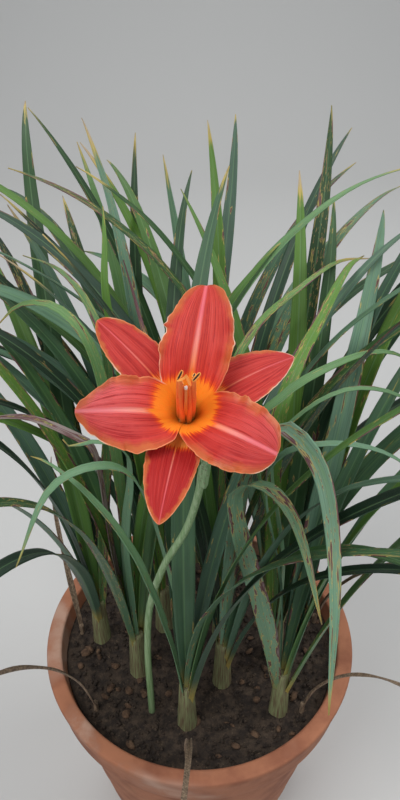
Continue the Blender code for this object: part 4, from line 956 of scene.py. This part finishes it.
# fan, half-width, roll at root and tip, route of the midrib in millimetres, then tone, wither, dry
# tip and bloom
placedLeaves = (
    ("reach_left", 4, 0.0072, (0, -38),
     ((-62, -34, 450), (-64, -44, 570), (-74, -40, 629), (-96, -26, 648), (-121, -18, 644),
      (-140, -14, 625)),
     (0.95, 0.45, 0.03, 0.35)),
    ("tall_left", 1, 0.0072, (10, 10),
     ((-44, 8, 420), (-56, -4, 560), (-66, 5, 634), (-67, 30, 665), (-70, 60, 680)),
     (1.00, 0.05, 0.02, 0.05)),
    ("arch_right", 2, 0.0084, (10, 35),
     ((26, -56, 420), (34, -84, 555), (48, -99, 603), (64, -116, 605), (74, -145, 595),
      (76, -190, 565), (72, -235, 510)),
     (0.75, 0.72, 0.03, 1.00)),
    ("channel_right", 10, 0.0045, (0, 10),
     ((68, -66, 400), (48, -76, 520), (54, -85, 568), (86, -86, 580), (122, -86, 572),
      (160, -88, 545)),
     (0.80, 0.10, 0.03, 0.90)),
    ("arch_low_right", 10, 0.0080, (0, 25),
     ((56, -92, 380), (26, -96, 520), (30, -106, 560), (46, -122, 572), (60, -150, 566),
      (72, -190, 530)),
     (0.80, 0.75, 0.04, 0.75)),
    ("arch_low_left", 7, 0.0062, (0, -20),
     ((-18, -64, 360), (-34, -60, 470), (-46, -82, 545), (-66, -108, 580), (-92, -130, 580),
      (-108, -168, 555)),
     (0.80, 0.15, 0.03, 0.70)),
    ("tip_low_left", 7, 0.0056, (0, -25),
     ((-24, -98, 380), (-44, -114, 500), (-70, -112, 556), (-95, -102, 576), (-109, -96, 578)),
     (0.85, 0.15, 0.03, 0.60)),
    ("curl_left", 4, 0.0060, (0, -30),
     ((-62, -44, 420), (-50, -66, 530), (-52, -77, 566), (-68, -84, 580), (-84, -88, 579),
      (-88, -90, 587)),
     (0.75, 0.15, 0.03, 0.65)),
    ("dead_left", 4, 0.0062, (0, -20),
     ((-72, -38, 400), (-74, -50, 510), (-76, -57, 549), (-87, -58, 562), (-122, -50, 573),
      (-165, -40, 560)),
     (0.30, 1.80, 0.00, 0.10)),
    ("brown_edge_right", 0, 0.0044, (0, 15),
     ((20, 4, 420), (20, -10, 560), (40, 10, 606), (75, 48, 618), (110, 85, 622), (150, 125, 605)),
     (0.90, 0.85, 0.10, 0.20)),
    ("dried_tip_left", 1, 0.0036, (0, 0),
     ((-36, 12, 440), (-38, 6, 580), (-46, 28, 612), (-58, 62, 636)),
     (0.90, 0.30, 0.20, 0.05)),
    ("lean_left", 9, 0.0060, (0, 10),
     ((-84, 0, 420), (-68, -2, 570), (-78, 16, 616), (-104, 48, 634), (-140, 85, 628)),
     (0.80, 0.75, 0.04, 0.30)),
    ("broad_right", 5, 0.0072, (0, 15),
     ((62, -26, 420), (56, -40, 550), (66, -24, 588), (88, 12, 614), (112, 55, 632),
      (134, 100, 620)),
     (0.95, 0.55, 0.04, 0.05)),
    ("reach_right", 5, 0.0060, (0, 10),
     ((66, -34, 400), (40, -56, 555), (58, -50, 592), (96, -34, 608), (132, -18, 606),
      (170, -4, 580)),
     (0.85, 0.20, 0.04, 0.40)),
    ("slim_right", 5, 0.0045, (0, 15),
     ((72, -40, 400), (50, -74, 555), (66, -74, 594), (94, -68, 610), (124, -64, 606),
      (156, -60, 585)),
     (0.80, 0.20, 0.04, 0.50)),
)


def fanPlaces():
    index = np.arange(leafSet["fans"])
    radius = leafSet["spread"] * np.sqrt((index + 0.5) / leafSet["fans"])
    turn = np.radians(leafSet["golden"] * index + leafSet["turn"])
    return np.stack([radius * np.cos(turn), radius * np.sin(turn)], axis=1)


# half-width along a leaf: narrower where it clasps, drawn to a point over the last third
def bladeProfile(s, halfWidth):
    rise = 0.50 + 0.50 * np.clip(s / 0.3, 0.0, 1.0)
    return np.maximum(halfWidth * rise * (1 - s**3)**0.8, 0.0002)


def bladeFold(s):
    return np.radians(14.0 + 44.0 * np.exp(-s / 0.16))


# the numbers of one drawn leaf: it stands up from its fan and bends outwards along its length
def drawLeaf(draw, place, plane, turn):
    m = leafSet
    age = 1.0 - turn / m["perFan"]
    azimuth = plane + math.pi * (turn % 2) + math.radians(draw.gauss(0.0, m["azimuthSpread"]))
    length = draw.uniform(*m["length"])
    rise = math.radians(m["rise"] - m["ageLean"] * age
                        + draw.uniform(-m["riseSpread"], m["riseSpread"]))
    bend = math.radians(draw.uniform(m["bendLeast"], m["bendMost"] + m["bendAge"] * age))
    power = draw.uniform(*m["power"])
    drift = math.radians(draw.gauss(0, m["drift"]))
    roll = math.radians(draw.gauss(0, m["roll"]))
    halfWidth = draw.uniform(*m["halfWidth"])
    offset = m["offset"] + m["offsetAge"] * age
    root = m["root"] + m["rootAge"] * (1.0 - age)
    s = np.linspace(0.0, 1.0, m["fineSteps"] + 1)
    height = rise - bend * s**power
    way = azimuth + drift * s
    foot = np.array([place[0] + offset * math.cos(azimuth), place[1] + offset * math.sin(azimuth),
                     float(soilHeight(*place)) + root])
    return s, walk(foot, headings(height, way), length), way, roll * s, halfWidth


def nodeTree(name):
    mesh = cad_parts[name].data
    return BVHTree.FromPolygons([v.co for v in mesh.vertices], [p.vertices for p in mesh.polygons])


def liesOn(tree, points, reach=0.0009):
    for point in points:
        found = tree.find_nearest(Vector(point), 0.01)
        if found[0] is None or found[3] > reach:
            return False
    return True


# more rows on a leaf than its rule has, by reading its lines at even steps
def refine(s, centre, way, roll, rows):
    fine = np.linspace(0, 1, rows)
    lines = np.stack([np.interp(fine, s, centre[:, k]) for k in range(3)], 1)
    return fine, lines, np.interp(fine, s, way), np.interp(fine, s, roll)


# a finished leaf: the folded blade with a slow ripple along its margins
def addLeaf(gather, s, centre, way, roll, halfWidth, looks, rng):
    m = leafSet
    wave = rng.uniform(0, tau, 3)
    half = bladeProfile(s, halfWidth) * (1 + 0.02 * np.sin(tau * 5 * s + wave[0]))
    grid, v, face = bladeGrid(centre, way, roll, half, bladeFold(s), m["columns"], m["ease"])
    slow = np.sin(tau * (3.2 + wave[1]) * s + wave[1]) * m["slowRipple"] * s * (1 - s)
    quick = np.sin(tau * 7 * s + wave[2]) * m["quickRipple"] * s
    ripple = slow[:, None] * v + quick[:, None] * v**2
    grid = grid + face[:, None] * ripple[..., None]
    thick = m["thick"] * (1.0 + 0.9 * np.exp(-(v / 0.16)**2))
    looks = dict(zip(("tone", "wither", "tip", "bloom"), looks))
    addSheet(gather, grid[:, ::-1], thick[::-1], across=v[::-1], along=s[:, None],
             seed=rng.uniform(0, 60), **looks)


# a fan's foot: clasping bases as one tapering tube with four soft lobes
def addFoot(gather, place, rng):
    ground = float(soilHeight(*place))
    s = np.linspace(0, 1, 16)
    path = np.stack([np.full(16, place[0]), np.full(16, place[1]), ground - 0.02 + 0.085 * s], 1)
    addTube(gather, path, 0.0100 - 0.0040 * s, 20, seed=rng.uniform(0, 0.3),
            lobes=lambda a, b: 1 + 0.10 * np.cos(4 * b) * a)


def makeLeaves():
    places = fanPlaces()
    found = 0
    for index, place in enumerate(places):
        name = "fan_%02d" % (index + 1)
        tree = nodeTree(name)
        gather = Gather()
        rng = np.random.default_rng(900 + index)
        placed = [leaf for leaf in placedLeaves if leaf[1] == index]
        for _, _, halfWidth, rolls, route, looks in placed:
            foot = (place[0], place[1], float(soilHeight(*place)) + leafSet["placedRoot"])
            centre = smoothRoute([foot, *(np.array(route) / 1000)], leafSet["rows"])
            s = np.linspace(0, 1, leafSet["rows"])
            lean = centre[-1] - centre[0]
            way = np.full(len(s), math.atan2(lean[1], lean[0]))
            roll = np.radians(rolls[0] + (rolls[1] - rolls[0]) * s)
            addLeaf(gather, s, centre, way, roll, halfWidth, looks, rng)
        plane = math.radians(leafSet["planeTurn"]) * index
        pick = [leafSet["fineSteps"] * k // 5 for k in (3, 4, 5)]
        for turn in range(len(placed), leafSet["perFan"]):
            for attempt in range(leafSet["tries"]):
                draw = random.Random(leafSet["seed"] + 100000 * index + 1000 * turn + attempt)
                s, centre, way, roll, halfWidth = drawLeaf(draw, place, plane, turn)
                if not liesOn(tree, centre[pick]):
                    continue
                looks = (rng.uniform(0.0, 1.0)**1.7, rng.uniform(0, 1)**3.0 * 0.85,
                         rng.uniform(0.0, 0.10), rng.uniform(0, 1)**3.0 * 0.8)
                lines = refine(s, centre, way, roll, leafSet["rows"])
                addLeaf(gather, *lines, halfWidth, looks, rng)
                found += 1
                break
        gather.piece(name + "_leaves", leafFinish, "leaf", name)
        foot = Gather()
        addFoot(foot, place, rng)
        foot.piece(name + "_foot", sheathFinish, "leaf")
    print("leaves made:", found, "drawn and", len(placedLeaves), "placed")


makeLeaves()

# dry leaves: the same draws as the frame's, found in the same way
drySet = dict(
    count=7, ring=0.122, peg=0.0028, steps=5, rows=40, columns=9, thick=0.0005,
    spread=0.3, waySpread=0.8, length=(0.20, 0.32), rise=82.0, bend=(80, 135), drift=35.0,
    halfWidth=(0.0028, 0.0042), roll=60.0, root=0.004, crimp=0.0007,
)


def makeDryLeaves():
    m = drySet
    draw = random.Random(leafSet["seed"] + 1)
    number = 0
    for index in range(m["count"]):
        name = "dry_leaf_%d" % (index + 1)
        tree = nodeTree(name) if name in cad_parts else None
        turn = tau * (index + 0.35) / m["count"]
        for _ in range(leafSet["tries"]):
            at = turn + draw.uniform(-m["spread"], m["spread"])
            place = (m["ring"] * math.cos(at), m["ring"] * math.sin(at))
            ground = float(soilHeight(*place))
            way = at + draw.gauss(0, m["waySpread"])
            length = draw.uniform(*m["length"])
            bend = math.radians(draw.uniform(*m["bend"]))
            drift = math.radians(draw.gauss(0, m["drift"]))
            width = draw.uniform(*m["halfWidth"])
            rollEnd = math.radians(draw.uniform(-m["roll"], m["roll"]))
            coarse = np.linspace(0.0, 1.0, m["steps"] + 1)
            height = math.radians(m["rise"]) - bend * coarse**1.2
            heading = way + drift * coarse
            start = np.array([*place, ground + m["root"]])
            centre = walk(start, headings(height, heading), length)
            if tree and liesOn(tree, centre[3:]):
                break
        else:
            print("no draw fits", name)
            continue
        route = smoothRoute(list(centre), m["rows"])
        s = np.linspace(0, 1, m["rows"])
        heading = np.interp(s, coarse, heading)
        half = np.maximum(width * (1 - s**3)**0.8, 0.0002) * (1 + 0.15 * np.sin(19 * s + index))
        fold = np.radians(30 + 20 * np.sin(7 * s + index))
        grid, v, face = bladeGrid(route, heading, rollEnd * s, half, fold, m["columns"])
        crimp = m["crimp"] * np.sin(31 * s + 2 * index)[:, None] * v[None, :]
        grid = grid + face[:, None] * (crimp * s[:, None])[..., None]
        gather = Gather()
        addSheet(gather, grid[:, ::-1], m["thick"], along=s[:, None], seed=index * 1.3)
        peg = np.stack([np.full(8, place[0]), np.full(8, place[1]),
                        np.linspace(ground - 0.012, ground + 0.014, 8)], 1)
        addTube(gather, peg, np.linspace(1.0, 0.75, 8) * m["peg"], 12)
        gather.piece(name + "_blade", dryFinish, "dry_leaf", name)
        number += 1
    print("dry leaves made:", number)


makeDryLeaves()

# pot: the frame's own profile with rounded edges, turned in many more steps
potSet = dict(height=0.250, topRadius=0.146, baseRadius=0.104, wall=0.008, floor=0.010,
              rimHeight=0.042, rimOut=0.007, drain=0.006, drainRing=0.062, drains=4, steps=160)


# a point list with its corners rounded: each corner gives way to a short arc of a given size
def roundCorners(points, size, arc=5):
    made = [np.array(points[0], float)]
    for a, b, c in zip(points, points[1:], points[2:]):
        a, b, c = (np.array(p, float) for p in (a, b, c))
        cut = min(size, 0.45 * np.linalg.norm(a - b), 0.45 * np.linalg.norm(c - b))
        p, q = b + (a - b) / np.linalg.norm(a - b) * cut, b + (c - b) / np.linalg.norm(c - b) * cut
        for u in np.linspace(0, 1, arc):
            made.append((1 - u)**2 * p + 2 * u * (1 - u) * b + u**2 * q)
    made.append(np.array(points[-1], float))
    return np.array(made)


def makePot():
    p = potSet
    slope = (p["topRadius"] - p["baseRadius"]) / p["height"]
    rimLow = p["height"] - p["rimHeight"]
    outline = [
        (0.0, p["floor"]), (p["baseRadius"] - p["wall"], p["floor"]),
        (p["topRadius"] - p["wall"], p["height"]),
        (p["topRadius"] + p["rimOut"], p["height"]),
        (p["topRadius"] + p["rimOut"] - slope * p["rimHeight"], rimLow),
        (p["baseRadius"] + slope * rimLow, rimLow - 0.001), (p["baseRadius"], 0.0), (0.0, 0.0)]
    line = roundCorners(outline, 0.0032)
    dense = [line[0]]
    for a, b in zip(line, line[1:]):
        parts = max(int(np.linalg.norm(b - a) / 0.008), 1)
        dense += [a + (b - a) * k / parts for k in range(1, parts + 1)]
    line = np.array(dense)[1:-1]
    turn = np.linspace(0, tau, p["steps"], endpoint=False)
    rng = np.random.default_rng(5)
    wobble = 0.0004 * np.sin(2 * turn + 1.0) + 0.0002 * np.sin(3 * turn + 0.4)
    lines = 0.00015 * np.sin(line[:, 1] * 900) + 0.0001 * rng.standard_normal(len(line))
    outside = smoothstep(p["baseRadius"] * 0.9, p["baseRadius"], line[:, 0])
    radius = line[:, 0][:, None] + outside[:, None] * (wobble[None, :] + lines[:, None])
    gather = Gather()
    addTurned(gather, ringPlaces(radius, turn, line[:, 1:]), (0, 0, p["floor"]), (0, 0, 0))
    piece = gather.piece("pot_wall", clayFinish, "clay", "pot")
    drains = bmesh.new()
    for k in range(p["drains"]):
        way = tau * (k + 0.5) / p["drains"]
        made = bmesh.ops.create_cone(drains, cap_ends=True, segments=32, radius1=p["drain"],
                                     radius2=p["drain"], depth=3 * p["floor"])
        spot = (p["drainRing"] * math.cos(way), p["drainRing"] * math.sin(way), p["floor"] / 2)
        bmesh.ops.translate(drains, verts=made["verts"], vec=spot)
    cutterMesh = bpy.data.meshes.new("drains")
    drains.to_mesh(cutterMesh)
    drains.free()
    cutter = bpy.data.objects.new("drains", cutterMesh)
    bpy.context.scene.collection.objects.link(cutter)
    hole = piece.modifiers.new("drains", "BOOLEAN")
    hole.operation = "DIFFERENCE"
    hole.object = cutter
    graph = bpy.context.evaluated_depsgraph_get()
    cutMesh = bpy.data.meshes.new_from_object(piece.evaluated_get(graph))
    piece.modifiers.clear()
    piece.data = cutMesh
    bpy.data.objects.remove(cutter)


makePot()
print("pot made")

# soil: a closed disc of compost whose top is wrinkled, then loose crumbs and bark on it
earthSet = dict(rings=70, steps=200, lumps=0.0026, crumbs=1500, chips=90, seed=11)


def makeSoil():
    e = earthSet
    rng = np.random.default_rng(e["seed"])
    share = np.linspace(0, 1, e["rings"] + 1)[1:]
    turn = np.linspace(0, tau, e["steps"], endpoint=False)
    bore = potSet["topRadius"] - potSet["wall"] - 0.0036
    radius = share[:, None] * bore * np.ones((1, e["steps"]))
    x, y = radius * np.cos(turn), radius * np.sin(turn)
    fade = 1 - smoothstep(0.93, 1.0, share)[:, None]
    rise = soilHeight(x, y) + e["lumps"] * rippleField(x, y, rng, 160.0) * (0.35 + 0.65 * fade)
    for place in fanPlaces():
        rise = rise + 0.003 * np.exp(-(((x - place[0])**2 + (y - place[1])**2) / 0.013**2))
    top = np.stack([x, y, rise], -1)
    low = top[-1:].copy()
    low[..., 2] = potSet["floor"] + 0.001
    low[..., :2] *= (potSet["baseRadius"] - potSet["wall"] - 0.002) / bore
    gather = Gather()
    addTurned(gather, np.concatenate([top, low]), (0, 0, float(rise[0].mean())),
              (0, 0, potSet["floor"] + 0.001))
    gather.piece("soil_body", earthFinish, "soil", "soil")
    scatter(e["crumbs"], "soil_crumbs", earthFinish, (0.0008, 0.0024), (0.7, 1.0), rng, bore)
    scatter(e["chips"], "bark_chips", barkFinish, (0.003, 0.007), (0.25, 0.5), rng, bore)


# lumps strewn over the soil: one coarse ball, its points jittered, stretched, turned and sunk a
# third of its height, for all lumps at once
def scatter(count, name, finish, sizes, flatness, rng, bore):
    ball = bmesh.new()
    bmesh.ops.create_icosphere(ball, subdivisions=1, radius=1.0)
    points = np.array([v.co[:] for v in ball.verts])
    faces = np.array([[v.index for v in f.verts] for f in ball.faces])
    ball.free()
    size = rng.uniform(*sizes, count)
    width, height = size * rng.uniform(0.5, 1.0, count), size * rng.uniform(*flatness, count)
    shape = np.stack([size, width, height], 1)
    cloud = points[None] * shape[:, None] * rng.uniform(0.75, 1.2, (count, len(points), 1))
    spin, tilt = rng.uniform(0, tau, count), rng.normal(0, 0.35, count)
    x, y, z = cloud[..., 0], cloud[..., 1], cloud[..., 2]
    y, z = (y * np.cos(tilt)[:, None] - z * np.sin(tilt)[:, None],
            y * np.sin(tilt)[:, None] + z * np.cos(tilt)[:, None])
    x, y = (x * np.cos(spin)[:, None] - y * np.sin(spin)[:, None],
            x * np.sin(spin)[:, None] + y * np.cos(spin)[:, None])
    reach, turn = bore * np.sqrt(rng.uniform(0, 0.93, count)), rng.uniform(0, tau, count)
    px, py = reach * np.cos(turn), reach * np.sin(turn)
    pz = soilHeight(px, py) + shape[:, 2] * 0.4 + 0.0012
    places = np.stack([x + px[:, None], y + py[:, None], z + pz[:, None]], -1).reshape(-1, 3)
    tris = (faces[None] + (np.arange(count) * len(points))[:, None, None]).reshape(-1, 3)
    gather = Gather()
    gather.add(places, None, tris)
    gather.piece(name, finish, "soil")


makeSoil()
print("soil made")


# stage: pale floor that curves up behind, soft light from above and in front, and the camera
stageSet = dict(size=6.0, colour=(0.58, 0.58, 0.57), sky=(0.82, 0.90, 1.00), skyPower=0.15,
                curve=0.8, wall=3.0, target=(0, 0, 0.45),
                lamps=(((-0.9, -0.9, 2.5), 34.0, 1.2), ((1.5, 0.2, 2.2), 26.0, 1.6),
                       ((-0.2, 1.6, 2.2), 18.0, 1.4), ((0.1, -1.7, 1.5), 7.0, 0.7)))


def makeStage():
    half, curve = stageSet["size"] / 2, stageSet["curve"]
    bend = np.linspace(0, math.pi / 2, 24)
    y = np.concatenate([[-half], half * 0.6 + curve * np.sin(bend), [half * 0.6 + curve]])
    z = np.concatenate([[0.0], curve - curve * np.cos(bend), [stageSet["wall"]]])
    x = np.array([-half, half])
    places = np.stack([np.repeat(x[None, :], len(y), 0), np.repeat(y[:, None], 2, 1),
                       np.repeat(z[:, None], 2, 1)], -1).reshape(-1, 3)
    index = np.arange(len(y) * 2).reshape(len(y), 2)
    quads = np.stack([index[:-1, 0], index[:-1, 1], index[1:, 1], index[1:, 0]], -1)
    f = Finish("floor")
    tone = f.noise(f.place(), 3.0, 2.0)
    pale = f.mix(f.times(tone, 0.06), stageSet["colour"], (0.6, 0.6, 0.58))
    mesh = bpy.data.meshes.new("floor")
    mesh.from_pydata(places.tolist(), [], quads.tolist())
    mesh.polygons.foreach_set("use_smooth", np.ones(len(quads), bool))
    mesh.materials.append(f.done(pale, 0.9))
    floor = bpy.data.objects.new("floor", mesh)
    bpy.context.scene.collection.objects.link(floor)
    for number, (place, power, size) in enumerate(stageSet["lamps"]):
        lamp = bpy.data.lights.new("softbox_%d" % number, "AREA")
        lamp.energy, lamp.size = power, size
        box = bpy.data.objects.new("softbox_%d" % number, lamp)
        box.location = place
        aim = Vector(stageSet["target"]) - Vector(place)
        box.rotation_euler = aim.to_track_quat("-Z", "Y").to_euler()
        bpy.context.scene.collection.objects.link(box)
    world = bpy.data.worlds.new("sky")
    world.use_nodes = True
    back = world.node_tree.nodes["Background"]
    back.inputs["Color"].default_value = (*stageSet["sky"], 1.0)
    back.inputs["Strength"].default_value = stageSet["skyPower"]
    bpy.context.scene.world = world


makeStage()

lens = bpy.data.cameras.new("camera")
lens.sensor_width = cameraSet["sensor"]
lens.lens = cameraSet["focal"] / cameraSet["longSide"] * cameraSet["sensor"]
lens.clip_start = 0.02
camera = bpy.data.objects.new("camera", lens)
camera.location = cameraSet["place"]
camera.rotation_euler = (math.radians(90 - cameraSet["down"]), 0.0, 0.0)
bpy.context.scene.collection.objects.link(camera)
bpy.context.scene.camera = camera
bpy.context.scene.view_settings.view_transform = "Standard"
print("stage made")
